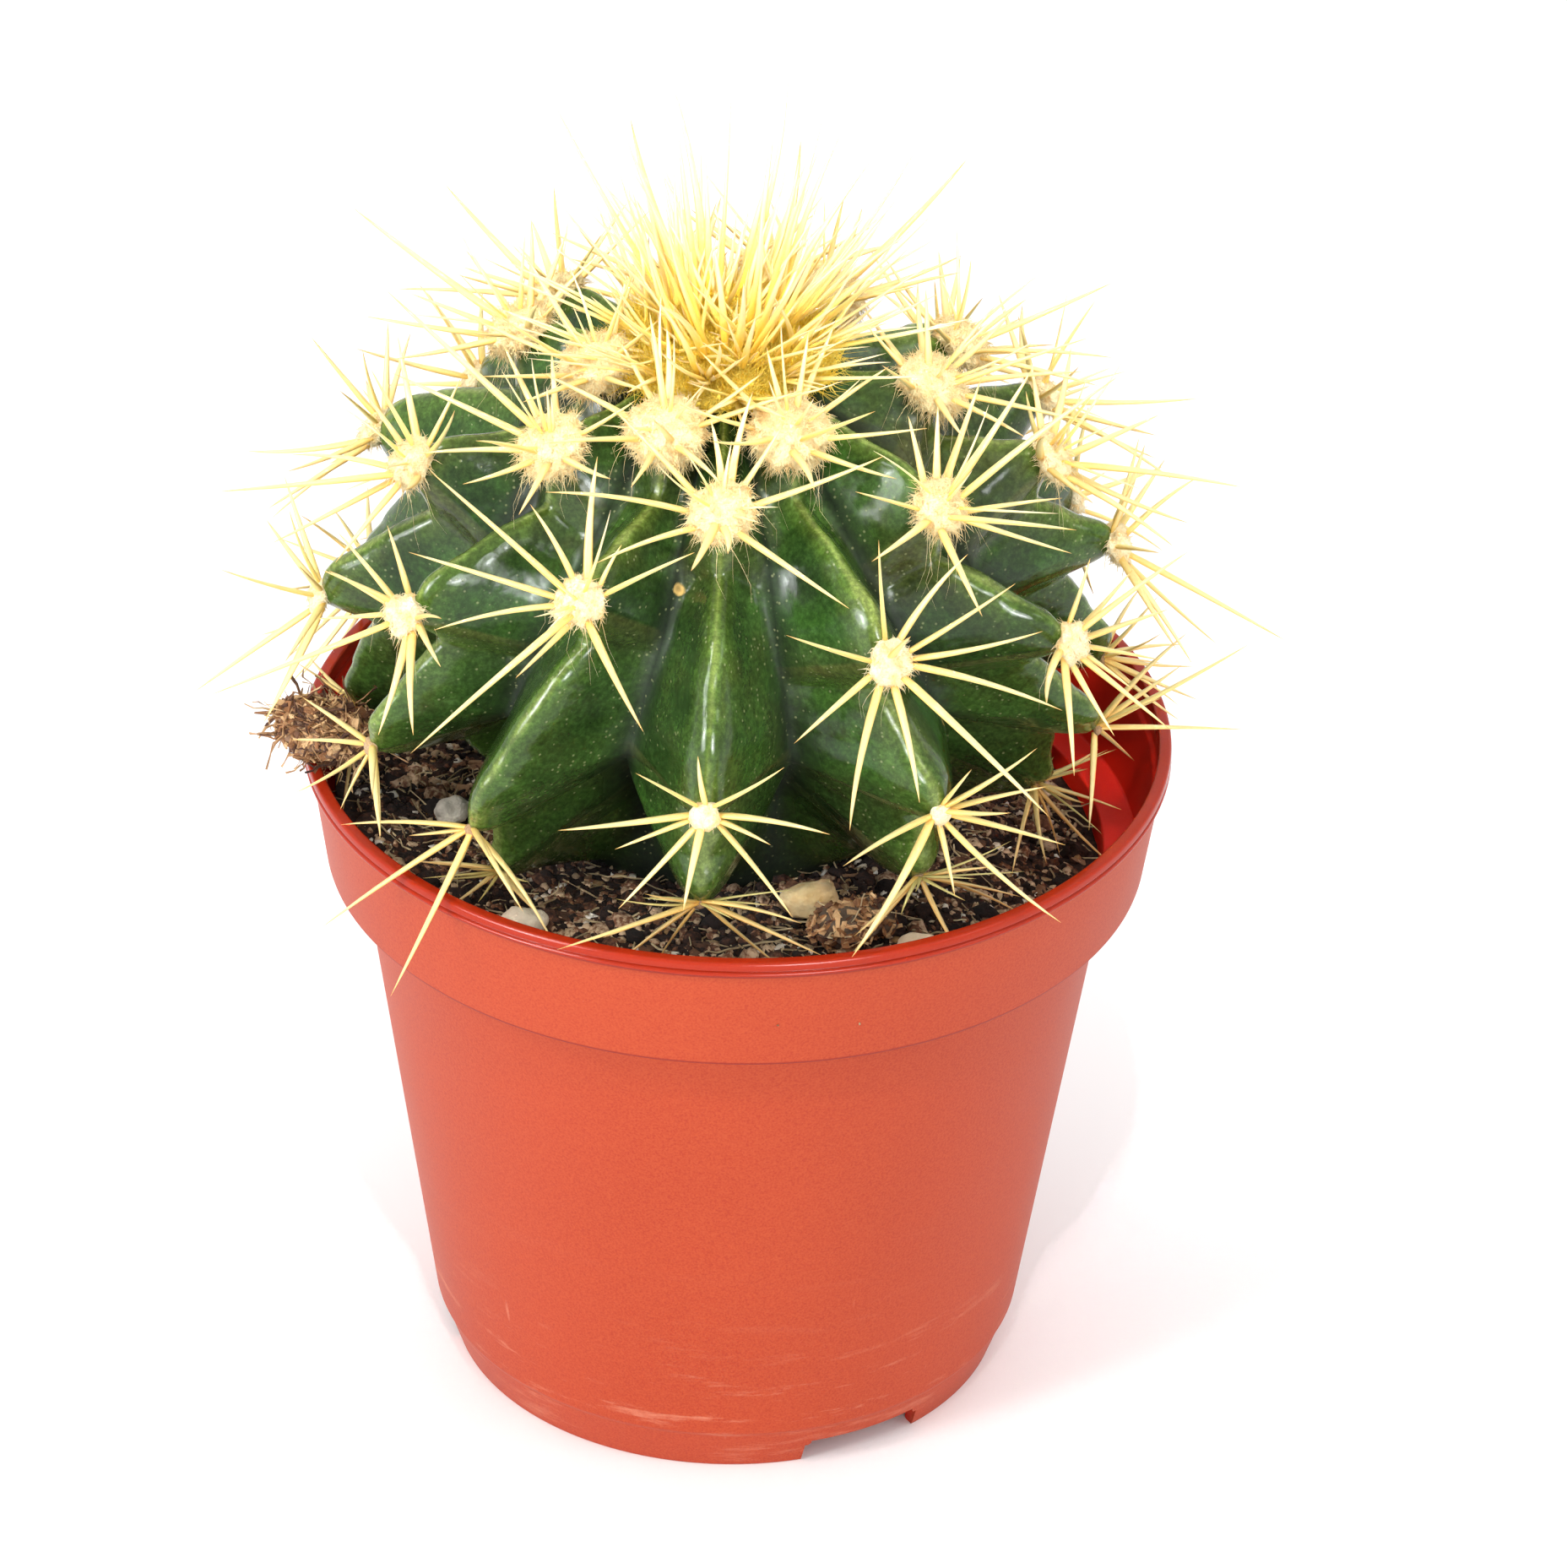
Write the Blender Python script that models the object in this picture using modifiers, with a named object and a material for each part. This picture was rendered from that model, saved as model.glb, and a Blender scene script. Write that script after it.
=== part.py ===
"""Round barrel cactus in a plastic nursery pot.

The stem has thirteen ribs. Each areole on a rib is a wool pad with a fan of spines, and is an object
of its own. World origin: the middle of the pot's foot, on the surface it stands on. The pot's front
is at -Y, +Z is up, and every length is in metres.
"""

import math
import random

import bmesh
import bpy
from mathutils import Euler, Matrix, Vector
from mathutils.bvhtree import BVHTree

MM = 0.001
GAP = 0.3 * MM               # clearance between pieces that touch

# ---- pot ----
RIM_RADIUS = 60.0 * MM
RIM_HEIGHT = 97.5 * MM
LIP_DEPTH = 2.1 * MM
LIP_PROUD = 0.5 * MM
COLLAR_FOOT_RADIUS = 56.8 * MM
COLLAR_FOOT_HEIGHT = 79.2 * MM
BODY_TOP_RADIUS = 52.2 * MM
FOOT_TOP_RADIUS = 41.4 * MM
FOOT_HEIGHT = 6.9 * MM
FOOT_RADIUS = 38.7 * MM
FOOT_WIDTH = 1.8 * MM
FOOT_DRAFT = 0.7 * MM        # how far the foot ring's inner face spreads up to the floor
EDGE_ROUND = 0.6 * MM        # rounding of the rim's outer edge
EDGE_SOFT = 0.4 * MM         # rounding of the collar's and lip's lower edges
LEDGE_RISE = 0.2 * MM        # fall of the ledges inside and outside the collar
WALL = 1.3 * MM
FLOOR_UNDERSIDE = 5.4 * MM
POT_STEPS = 48
NOTCH_COUNT = 3
NOTCH_FIRST = math.radians(30)
NOTCH_WIDTH = 18.0 * MM
NOTCH_HEIGHT = 4.0 * MM
NOTCH_DEPTH = 12.0 * MM
DRAIN_RADIUS = 4.0 * MM
DRAIN_RING_RADIUS = 24.0 * MM
DRAIN_COUNT = 6
DRAIN_FIRST = math.radians(11)

# ---- soil ----
SOIL_FRONT = 88.0 * MM       # height of the soil at the front of the pot
SOIL_BACK = 81.0 * MM
SOIL_RIGHT_DROP = 5.0 * MM
SOIL_NECK_HEIGHT = 85.0 * MM
SOIL_LUMP = 0.7 * MM
SOIL_LEFT_MOUND = 6.0 * MM
SOIL_STEPS = 40
SOIL_BLEND = 12.0 * MM       # width over which the soil falls to the neck of the stem
SOCKET_DEPTH = 12.0 * MM

# ---- stem ----
AXIS_X = -2.7 * MM           # the stem stands a little left of the pot's middle
LEAN = 8.0 * MM              # and its crown leans this far to the front
LEAN_SPAN = 48.0 * MM
LEAN_BASE = 113.0 * MM
GIRTH_RADIUS = 55.0 * MM
GIRTH_HEIGHT = 115.5 * MM
CROWN_RISE = 47.0 * MM       # from the girth up to the crown
CROWN_POWER = 2.3
UNDERSIDE_RADIUS = 40.0 * MM
UNDERSIDE_HEIGHT = 88.0 * MM
NECK_RADIUS = 26.0 * MM
NECK_HEIGHT = 86.0 * MM
FURROW_SHARE = 0.28          # furrow depth over radius
WAIST = 7.5 * MM             # how far a rib steps in below each areole
WAIST_STEP = 7.0 * MM        # length of that step along the height
WAIST_SPAN = 22.0 * MM       # areoles closer together than this have a shallower waist between them
TUCK = 9.0 * MM              # how far a rib draws in below its last areole
TUCK_STEP = 14.0 * MM        # length of that step along the height
TUCK_SPAN = 20.0 * MM        # a last areole nearer the underside than this has a smaller tuck
FURROW_POWER = 1.25          # above 1 the crests are broader than the furrows
RIB_SEGMENTS = 6
UPPER_ROWS = 12
LOWER_ROWS = 8

LUMP_RANGE = (0.88, 1.08)    # how far a loose piece's skin varies about its size
DROP_STEP = 0.1 * MM         # fineness with which pieces and pads are seated

# ---- loose pieces on the soil: size in mm, place in mm, turn in degrees, colour, seed ----
LOOSE_PIECES = {
    "stone_tan": ((8.5, 6.5, 5.5), (10.5, -30.0), (0, 0, 20), (0.55, 0.38, 0.2), 11),
    "bark_lump": ((12.0, 7.5, 6.0), (16.0, -37.5), (0, 0, 25), (0.16, 0.08, 0.04), 12),
    "stone_pale_right": ((7.0, 5.5, 4.5), (25.0, -41.5), (0, 0, -30), (0.6, 0.5, 0.36), 13),
    "stone_pale_left": ((7.5, 5.0, 4.5), (-28.5, -40.5), (0, 0, 15), (0.6, 0.48, 0.36), 14),
    "stone_pale_back": ((6.0, 4.5, 4.0), (-39.0, -10.0), (0, 0, 40), (0.6, 0.48, 0.36), 16),
    "bark_clump": ((16.0, 12.0, 7.0), (-55.5, -9.0), (0, 12, -10), (0.3, 0.14, 0.06), 15),
}

# Each rib: azimuth at the crown and at the foot in degrees (0 is the front, growing to the right seen
# from the front), then the heights of its areoles in millimetres.
RIBS = {
    "a": (0, -2, (155, 118, 99)),
    "b": (23, 35, (160, 138, 113, 97)),
    "c": (46, 78, (152, 130, 106, 93)),
    "d": (83, 98, (158, 147, 130, 105)),
    "e": (113, 120, (155, 143, 121, 100)),
    "f": (142, 144, (160, 139, 114, 96)),
    "g": (169, 169, (153, 128, 104)),
    "h": (195, 194, (160, 141, 117, 97)),
    "i": (221, 219, (154, 131, 108)),
    "j": (248, 245, (157, 134, 107)),
    "k": (286, 272, (161, 148, 122, 99)),
    "l": (312, 298, (157, 135, 110)),
    "m": (340, 320, (160, 145, 105, 93)),
}
DRIFT_TOP = 160.0 * MM
DRIFT_FOOT = 95.0 * MM

# ---- wool pads and spines ----
PAD_RADIUS = 3.4 * MM
PAD_RISE = 0.62              # pad height over pad radius
CROWN_PAD_RADIUS = 13.2 * MM
CROWN_PAD_RISE = 0.34
CROWN_SPINES = 44
SPINE_WIDTH = 1.1 * MM
RADIAL_RISE = 20             # degrees above the skin
CENTRAL_RISE = 48
SPINE_CLEARANCE = 0.4 * MM
CROWN_CLEARANCE = 1.4 * MM   # the crown's spines leave a coarser pad
SPREAD_X = 74.0 * MM         # the outermost spine tips on the four sides
SPREAD_Y = 74.0 * MM
TOP_TIP = 197.0 * MM

# Spine fans of the areoles that differ most from the usual fan. A radial is (clock, length): clock in
# degrees from the crown side of the areole, positive to the right; length in millimetres.
RADIAL_FANS = {
    "a1": ((-96, 25), (-52, 20), (-8, 13), (14, 17), (34, 15), (75, 23), (137, 26), (-125, 21)),
    "a2": ((-5, 12), (-45, 14), (44, 16), (-90, 20), (85, 18), (-105, 13), (102, 10), (-135, 17), (133, 18)),
    "a3": ((-30, 15), (-94, 14), (-128, 15), (-162, 14), (140, 16), (96, 18), (60, 17)),
    "b2": ((-65, 19), (-2, 18), (44, 18), (66, 20), (88, 21), (117, 24), (-143, 26), (-176, 19), (-108, 22)),
    "b3": ((-85, 20), (-119, 24), (175, 12), (111, 19), (70, 15), (40, 17), (12, 10)),
    "b4": ((-80, 16), (-125, 18), (128, 20), (100, 16), (70, 10)),
    "c1": ((10, 13), (28, 14), (52, 20), (66, 24), (122, 17), (150, 19), (-144, 20), (-100, 22), (-66, 16)),
    "c2": ((68, 14), (100, 18), (124, 16), (150, 12), (-131, 20), (-92, 18), (-168, 14), (20, 12)),
    "c3": ((60, 16), (30, 18), (95, 14), (130, 16), (-150, 14), (-20, 14)),
    "l1": ((-66, 17), (-42, 14), (-108, 24), (-140, 18), (178, 16), (140, 20), (98, 18), (43, 14)),
    "l2": ((67, 14), (92, 16), (123, 20), (150, 17), (-117, 14), (-88, 14), (-61, 15), (-21, 13)),
    "l3": ((-110, 17), (-134, 19), (-165, 12), (150, 13), (112, 15), (80, 15), (-70, 12)),
    "m2": ((-3, 20), (-89, 24), (-116, 20), (-160, 14), (133, 25), (60, 20), (26, 10), (-40, 15)),
    "m3": ((-88, 18), (-108, 10), (-133, 24), (-158, 14), (118, 20), (92, 17), (56, 15)),
}
# A central is (clock, rise, length).
CENTRAL_SPINES = {
    "a1": ((-168, 42, 24), (176, 46, 20)),
    "a2": ((-165, 50, 14),),
    "a3": ((-62, 30, 24),),
    "b2": ((165, 46, 33), (-20, 70, 14)),
    "b3": ((137, 44, 22), (40, 55, 12)),
    "b4": ((160, 40, 20),),
    "c1": ((-172, 55, 28), (90, 45, 30)),
    "c2": ((60, 40, 20), (170, 40, 18)),
    "c3": ((35, 34, 24), (50, 44, 20)),
    "l1": ((-95, 42, 30), (165, 50, 18)),
    "l2": ((-150, 46, 28), (-60, 60, 14)),
    "m2": ((-172, 36, 34), (-62, 30, 27)),
    "m3": ((156, 44, 25),),
}


# ---------------------------------------------------------------- scene helpers

def clear_scene():
    for old in list(bpy.data.objects):
        bpy.data.objects.remove(old, do_unlink=True)


def new_collection(name):
    collection = bpy.data.collections.new(name)
    bpy.context.scene.collection.children.link(collection)
    return collection


def make_material(name, color, roughness):
    material = bpy.data.materials.new(name)
    material.use_nodes = True
    shader = material.node_tree.nodes["Principled BSDF"]
    shader.inputs["Base Color"].default_value = (*color, 1.0)
    shader.inputs["Roughness"].default_value = roughness
    shader.inputs["Metallic"].default_value = 0.0
    return material


def add_object(name, mesh, material, collection):
    obj = bpy.data.objects.new(name, mesh)
    mesh.materials.append(material)
    collection.objects.link(obj)
    return obj


def mesh_from_bmesh(name, bm):
    bmesh.ops.recalc_face_normals(bm, faces=bm.faces[:])
    mesh = bpy.data.meshes.new(name)
    bm.to_mesh(mesh)
    bm.free()
    return mesh


def evaluated_tree(obj):
    depsgraph = bpy.context.evaluated_depsgraph_get()
    return BVHTree.FromObject(obj, depsgraph)


def clear_of_surface(tree, point, distance):
    """True outside a surface and this far from it. At a sharp edge the nearest face may lean away."""
    place, normal, _, gap = tree.find_nearest(point)
    return gap >= distance and (point - place).dot(normal) > -0.5 * gap


def turned_object(name, profile, steps, material, collection):
    """A profile of (radius, height) points, turned about Z with a Screw modifier."""
    mesh = bpy.data.meshes.new(name)
    points = [(radius, 0.0, height) for radius, height in profile]
    edges = [(i, i + 1) for i in range(len(points) - 1)]
    mesh.from_pydata(points, edges, [])
    obj = add_object(name, mesh, material, collection)
    screw = obj.modifiers.new("Turn", "SCREW")
    screw.angle = math.tau
    screw.steps = steps
    screw.render_steps = steps
    screw.use_merge_vertices = True
    screw.merge_threshold = 0.00001
    screw.use_smooth_shade = True
    return obj


def apply_modifiers(obj):
    """Replace the object's mesh by its evaluated mesh."""
    depsgraph = bpy.context.evaluated_depsgraph_get()
    mesh = bpy.data.meshes.new_from_object(obj.evaluated_get(depsgraph))
    obj.modifiers.clear()
    obj.data = mesh


def add_cut(obj, cutter):
    cutter.hide_render = True
    cutter.display_type = "WIRE"
    cut = obj.modifiers.new("Cut " + cutter.name, "BOOLEAN")
    cut.operation = "DIFFERENCE"
    cut.solver = "EXACT"
    cut.object = cutter


# ---------------------------------------------------------------- pot

def wall_radius(height):
    """Outer radius of the pot's tapered wall below the collar."""
    share = (height - FOOT_HEIGHT) / (COLLAR_FOOT_HEIGHT - FOOT_HEIGHT)
    return FOOT_TOP_RADIUS + share * (BODY_TOP_RADIUS - FOOT_TOP_RADIUS)


def collar_radius(height):
    share = (height - COLLAR_FOOT_HEIGHT) / (RIM_HEIGHT - COLLAR_FOOT_HEIGHT)
    return COLLAR_FOOT_RADIUS + share * (RIM_RADIUS - LIP_PROUD - COLLAR_FOOT_RADIUS)


def inner_radius(height):
    """Inner radius of the pot at a height above its floor."""
    if height > COLLAR_FOOT_HEIGHT + WALL:
        return collar_radius(height) - WALL
    return wall_radius(height) - WALL


def build_pot(collection, cutters):
    floor_top = FLOOR_UNDERSIDE + WALL
    ledge_height = COLLAR_FOOT_HEIGHT + WALL
    lip_foot = RIM_HEIGHT - LIP_DEPTH
    lip_inner = inner_radius(RIM_HEIGHT)
    foot_inner = FOOT_RADIUS - FOOT_WIDTH
    profile = [
        (0.0, floor_top),
        (wall_radius(floor_top) - WALL, floor_top),
        (inner_radius(ledge_height), ledge_height),
        (collar_radius(ledge_height) - WALL, ledge_height + LEDGE_RISE),
        (lip_inner, RIM_HEIGHT - EDGE_SOFT),
        (lip_inner + EDGE_SOFT, RIM_HEIGHT),
        (RIM_RADIUS - EDGE_ROUND, RIM_HEIGHT),
        (RIM_RADIUS, RIM_HEIGHT - EDGE_ROUND),
        (RIM_RADIUS, lip_foot),
        (collar_radius(lip_foot - EDGE_SOFT), lip_foot - EDGE_SOFT),
        (COLLAR_FOOT_RADIUS, COLLAR_FOOT_HEIGHT + EDGE_SOFT),
        (COLLAR_FOOT_RADIUS - EDGE_SOFT, COLLAR_FOOT_HEIGHT),
        (BODY_TOP_RADIUS, COLLAR_FOOT_HEIGHT - LEDGE_RISE),
        (FOOT_TOP_RADIUS, FOOT_HEIGHT),
        (FOOT_RADIUS, 0.0),
        (foot_inner, 0.0),
        (foot_inner + FOOT_DRAFT, FLOOR_UNDERSIDE),
        (0.0, FLOOR_UNDERSIDE),
    ]
    terracotta = make_material("terracotta plastic", (0.68, 0.13, 0.06), 0.45)
    pot = turned_object("pot", profile, POT_STEPS, terracotta, collection)
    for number in range(NOTCH_COUNT):
        azimuth = NOTCH_FIRST + number * math.tau / NOTCH_COUNT
        add_cut(pot, notch_cutter(number, azimuth, cutters))
    for number in range(DRAIN_COUNT):
        azimuth = DRAIN_FIRST + number * math.tau / DRAIN_COUNT
        add_cut(pot, drain_cutter(number, azimuth, cutters))
    apply_modifiers(pot)
    return pot


def outward(azimuth):
    """Level unit vector at an azimuth from the front, to the right seen from the front."""
    return Vector((math.sin(azimuth), -math.cos(azimuth), 0.0))


def notch_cutter(number, azimuth, cutters):
    """A low box through the foot ring."""
    bpy.ops.mesh.primitive_cube_add(size=1.0)
    cutter = bpy.context.object
    cutter.name = f"notch_cutter_{number + 1}"
    cutter.scale = (NOTCH_WIDTH, NOTCH_DEPTH, 2 * NOTCH_HEIGHT)
    cutter.location = outward(azimuth) * FOOT_RADIUS
    cutter.rotation_euler = (0.0, 0.0, azimuth)
    move_to(cutter, cutters)
    return cutter


def drain_cutter(number, azimuth, cutters):
    bpy.ops.mesh.primitive_cylinder_add(vertices=12, radius=DRAIN_RADIUS, depth=4 * WALL)
    cutter = bpy.context.object
    cutter.name = f"drain_cutter_{number + 1}"
    cutter.location = outward(azimuth) * DRAIN_RING_RADIUS + Vector((0, 0, FLOOR_UNDERSIDE))
    move_to(cutter, cutters)
    return cutter


def move_to(obj, collection):
    for home in list(obj.users_collection):
        home.objects.unlink(obj)
    collection.objects.link(obj)


# ---------------------------------------------------------------- soil

def soil_height(x, y, lump):
    """Height of the soil at a place: it slopes to the back and drops at the right."""
    reach = inner_radius(SOIL_FRONT)
    front_share = 0.5 - 0.5 * y / reach
    height = SOIL_BACK + (SOIL_FRONT - SOIL_BACK) * front_share
    height -= SOIL_RIGHT_DROP * max(0.0, x / reach) ** 2
    height += SOIL_LEFT_MOUND * max(0.0, -x / reach) ** 3
    radius = math.hypot(x - AXIS_X, y)
    neck_share = min(1.0, max(0.0, (radius - NECK_RADIUS) / SOIL_BLEND))
    height = SOIL_NECK_HEIGHT + (height - SOIL_NECK_HEIGHT) * neck_share
    return height + lump * neck_share


def neck_axis(height):
    """Middle of the stem at a height, with its lean to the front."""
    return Vector((AXIS_X, -LEAN * (height - LEAN_BASE) / LEAN_SPAN, height))


def build_soil(collection):
    """The soil that fills the pot, with a socket for the stem's neck."""
    rng = random.Random(4)
    floor = FLOOR_UNDERSIDE + WALL + GAP
    ledge = COLLAR_FOOT_HEIGHT + WALL
    socket_floor = NECK_HEIGHT - SOCKET_DEPTH - GAP
    socket_radius = NECK_RADIUS + GAP
    neck = neck_axis(NECK_HEIGHT)
    bm = bmesh.new()
    rings = [ring(bm, socket_radius, socket_floor, neck)]
    for share in (0.0, 0.25, 0.5, 0.75, 1.0):
        rings.append(soil_top_ring(bm, share, socket_radius, neck, rng))
    for height in (ledge + GAP, ledge - GAP, floor):
        rings.append(ring(bm, inner_radius(height) - GAP, height, Vector((0, 0, 0))))
    for lower, upper in zip(rings, rings[1:]):
        bridge(bm, lower, upper)
    bm.faces.new(rings[0])
    bm.faces.new(rings[-1])
    earth = make_material("potting soil", (0.07, 0.04, 0.025), 0.95)
    return add_object("soil", mesh_from_bmesh("soil", bm), earth, collection)


def ring(bm, radius, height, centre):
    verts = []
    for step in range(SOIL_STEPS):
        place = centre + outward(step * math.tau / SOIL_STEPS) * radius
        verts.append(bm.verts.new((place.x, place.y, height)))
    return verts


def soil_top_ring(bm, share, socket_radius, neck, rng):
    """One ring of the soil's upper face, between the socket and the pot's wall."""
    verts = []
    reach = inner_radius(SOIL_BACK) - GAP
    for step in range(SOIL_STEPS):
        direction = outward(step * math.tau / SOIL_STEPS)
        inner = neck + direction * socket_radius
        outer = direction * reach
        place = inner.lerp(outer, share)
        lump = rng.uniform(-SOIL_LUMP, SOIL_LUMP)
        verts.append(bm.verts.new((place.x, place.y, soil_height(place.x, place.y, lump))))
    return verts


def bridge(bm, lower, upper):
    count = len(lower)
    for step in range(count):
        following = (step + 1) % count
        bm.faces.new((lower[step], lower[following], upper[following], upper[step]))


# ---------------------------------------------------------------- stem

def crest_radius(height):
    """Radius of the ribs' crests about the stem's axis."""
    rise = (height - GIRTH_HEIGHT) / CROWN_RISE
    if rise >= 0:
        return GIRTH_RADIUS * max(1.0 - rise ** CROWN_POWER, 0.0) ** (1.0 / CROWN_POWER)
    fall = (GIRTH_HEIGHT - height) / (GIRTH_HEIGHT - UNDERSIDE_HEIGHT)
    return GIRTH_RADIUS - (GIRTH_RADIUS - UNDERSIDE_RADIUS) * fall ** 2


def rib_azimuth(letter, height):
    top, foot, _ = RIBS[letter]
    share = (DRIFT_TOP - height) / (DRIFT_TOP - DRIFT_FOOT)
    share = min(1.0, max(0.0, share))
    turn = (foot - top) * smooth(share)
    return math.radians(top + turn)


def skin_frame(azimuth, height):
    """Place on the crest envelope, with its outward, crownward and rightward directions."""
    step = 0.4 * MM
    out = outward(azimuth)
    slope = (crest_radius(height + step) - crest_radius(height - step)) / (2 * step)
    normal = (out - Vector((0, 0, slope))).normalized()
    crownward = (Vector((0, 0, 1)) - normal * normal.z).normalized()
    rightward = crownward.cross(normal)
    return neck_axis(height) + out * crest_radius(height), normal, crownward, rightward


def smooth(share):
    return share * share * (3 - 2 * share)


def waist_at(letter, height):
    """How far a rib lies inside its envelope: it steps in below an areole and swells to the next."""
    heights = [value * MM for value in RIBS[letter][2]]
    if height <= heights[-1]:
        share = min(1.0, (heights[-1] - height) / TUCK_STEP)
        size = min(1.0, (heights[-1] - UNDERSIDE_HEIGHT) / TUCK_SPAN)
        return TUCK * size * smooth(share)
    stops = [GIRTH_HEIGHT + CROWN_RISE] + heights
    for upper, lower in zip(stops, stops[1:]):
        if lower <= height <= upper:
            share = (upper - height) / (upper - lower)
            step_in = min(1.0, (upper - height) / WAIST_STEP)
            size = min(1.0, (upper - lower) / WAIST_SPAN)
            return WAIST * size * smooth(step_in) * (1 - share)
    return 0.0


def stem_point(letter, following, segment, height):
    """Point of the stem's skin between the crests of two neighbouring ribs."""
    share = segment / RIB_SEGMENTS
    depth = (1.0 - abs(2 * share - 1)) ** FURROW_POWER
    first = rib_azimuth(letter, height)
    second = rib_azimuth(following, height)
    if second < first:
        second += math.tau
    azimuth = first + (second - first) * share
    place, normal, _, _ = skin_frame(azimuth, height)
    radius = crest_radius(height)
    nearer = letter if share < 0.5 else following
    waist = waist_at(nearer, height) * (1 - depth)
    return place - normal * (FURROW_SHARE * radius * depth + waist)


def stem_heights():
    """Heights of the rows of the stem's skin, from near the crown down to the underside."""
    heights = []
    for row in range(1, UPPER_ROWS + 1):
        angle = math.pi / 2 * (1 - row / UPPER_ROWS)
        heights.append(GIRTH_HEIGHT + CROWN_RISE * math.sin(angle) ** (2 / CROWN_POWER))
    for row in range(1, LOWER_ROWS + 1):
        heights.append(GIRTH_HEIGHT + (UNDERSIDE_HEIGHT - GIRTH_HEIGHT) * row / LOWER_ROWS)
    return heights


def build_stem(collection):
    letters = list(RIBS)
    bm = bmesh.new()
    rows = []
    for height in stem_heights():
        row = []
        for letter, following in zip(letters, letters[1:] + letters[:1]):
            for segment in range(RIB_SEGMENTS):
                row.append(bm.verts.new(stem_point(letter, following, segment, height)))
        rows.append(row)
    count = len(rows[0])
    neck = neck_axis(NECK_HEIGHT)
    for radius, height in ((NECK_RADIUS, NECK_HEIGHT), (NECK_RADIUS, NECK_HEIGHT - SOCKET_DEPTH)):
        row = []
        for old in rows[-1]:
            level = Vector((old.co.x, old.co.y, 0)) - Vector((neck.x, neck.y, 0))
            place = neck + level.normalized() * radius
            row.append(bm.verts.new((place.x, place.y, height)))
        rows.append(row)
    for upper, lower in zip(rows, rows[1:]):
        for step in range(count):
            following = (step + 1) % count
            bm.faces.new((upper[step], lower[step], lower[following], upper[following]))
    apex = bm.verts.new(neck_axis(GIRTH_HEIGHT + CROWN_RISE))
    for step in range(count):
        bm.faces.new((apex, rows[0][step], rows[0][(step + 1) % count]))
    bm.faces.new(reversed(rows[-1]))
    green = make_material("green skin", (0.03, 0.11, 0.03), 0.35)
    mesh = mesh_from_bmesh("cactus_stem", bm)
    return add_object("cactus_stem", mesh, green, collection)


# ---------------------------------------------------------------- loose pieces on the soil

def lump_bmesh(size, seed):
    """An uneven lump of the given length, width and height."""
    rng = random.Random(seed)
    bm = bmesh.new()
    bmesh.ops.create_icosphere(bm, subdivisions=2, radius=0.5)
    for vert in bm.verts:
        vert.co = vert.co * rng.uniform(*LUMP_RANGE)
        vert.co = Vector((vert.co.x * size[0], vert.co.y * size[1], vert.co.z * size[2]))
    return bm


def rest_height(trees, points, place):
    """Lowest height at which the points, moved to the place, stay clear of every surface."""
    offset = Vector((place[0] * MM, place[1] * MM, SOIL_BACK))
    while offset.z < GIRTH_HEIGHT:
        if all(clear_of_surface(tree, point + offset, GAP) for tree in trees for point in points):
            return offset
        offset.z += DROP_STEP
    return offset


def build_loose_pieces(trees, collection):
    pieces = []
    for name, (size, place, turn, color, seed) in LOOSE_PIECES.items():
        bm = lump_bmesh([value * MM for value in size], seed)
        rotation = Euler([math.radians(value) for value in turn]).to_matrix()
        for vert in bm.verts:
            vert.co = rotation @ vert.co
        points = [vert.co.copy() for vert in bm.verts]
        points += [edge.verts[0].co.lerp(edge.verts[1].co, 0.5) for edge in bm.edges]
        offset = rest_height(trees, points, place)
        for vert in bm.verts:
            vert.co += offset
        material = make_material(name, color, 0.85)
        pieces.append(add_object(name, mesh_from_bmesh(name, bm), material, collection))
    return pieces


# ---------------------------------------------------------------- wool pads and spines

def usual_radials(rng):
    """The usual fan: eight or nine radials, longer at the sides and below."""
    count = rng.choice((8, 9))
    start = rng.uniform(-12, 12)
    fan = []
    for number in range(count):
        clock = start + number * 360.0 / count + rng.uniform(-7, 7)
        clock = (clock + 180) % 360 - 180
        length = 13 + 8 * math.sin(math.radians(abs(clock)) / 2) + rng.uniform(-2, 2)
        fan.append((clock, length))
    return fan


def usual_centrals(rng):
    return [(180 + rng.uniform(-25, 25), CENTRAL_RISE, rng.uniform(21, 29)),
            (rng.uniform(-40, 40), CENTRAL_RISE + 14, rng.uniform(13, 19))]


def wanted_spines(name, height, rng):
    """Every spine of an areole as (clock, rise, length) in degrees and metres."""
    radials = RADIAL_FANS.get(name) or usual_radials(rng)
    centrals = CENTRAL_SPINES.get(name) or ([] if name in RADIAL_FANS else usual_centrals(rng))
    size = 1.0 if name in RADIAL_FANS else min(1.0, 0.6 + (height - UNDERSIDE_HEIGHT) / (60 * MM))
    wanted = [(clock, RADIAL_RISE + rng.uniform(-4, 6), length * size * MM) for clock, length in radials]
    wanted += [(clock, rise, length * size * MM) for clock, rise, length in centrals]
    return wanted


def direction_of(frame, clock, rise):
    _, normal, crownward, rightward = frame
    angle = math.radians(clock)
    lift = math.radians(rise)
    level = crownward * math.cos(angle) + rightward * math.sin(angle)
    return (level * math.cos(lift) + normal * math.sin(lift)).normalized()


def closest_shares(start, end, other_start, other_end):
    """Shares along two straight stretches where they come nearest."""
    along = end - start
    other = other_end - other_start
    between = start - other_start
    a, b, c = along.dot(along), along.dot(other), other.dot(other)
    d, e = along.dot(between), other.dot(between)
    spread = a * c - b * b
    share = min(1.0, max(0.0, (b * e - c * d) / spread)) if spread > 1e-14 else 0.0
    other_share = min(1.0, max(0.0, (b * share + e) / c))
    share = min(1.0, max(0.0, (b * other_share - d) / a))
    return share, other_share


def spine_radius(share):
    return 0.62 * SPINE_WIDTH * (1 - share)


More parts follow.
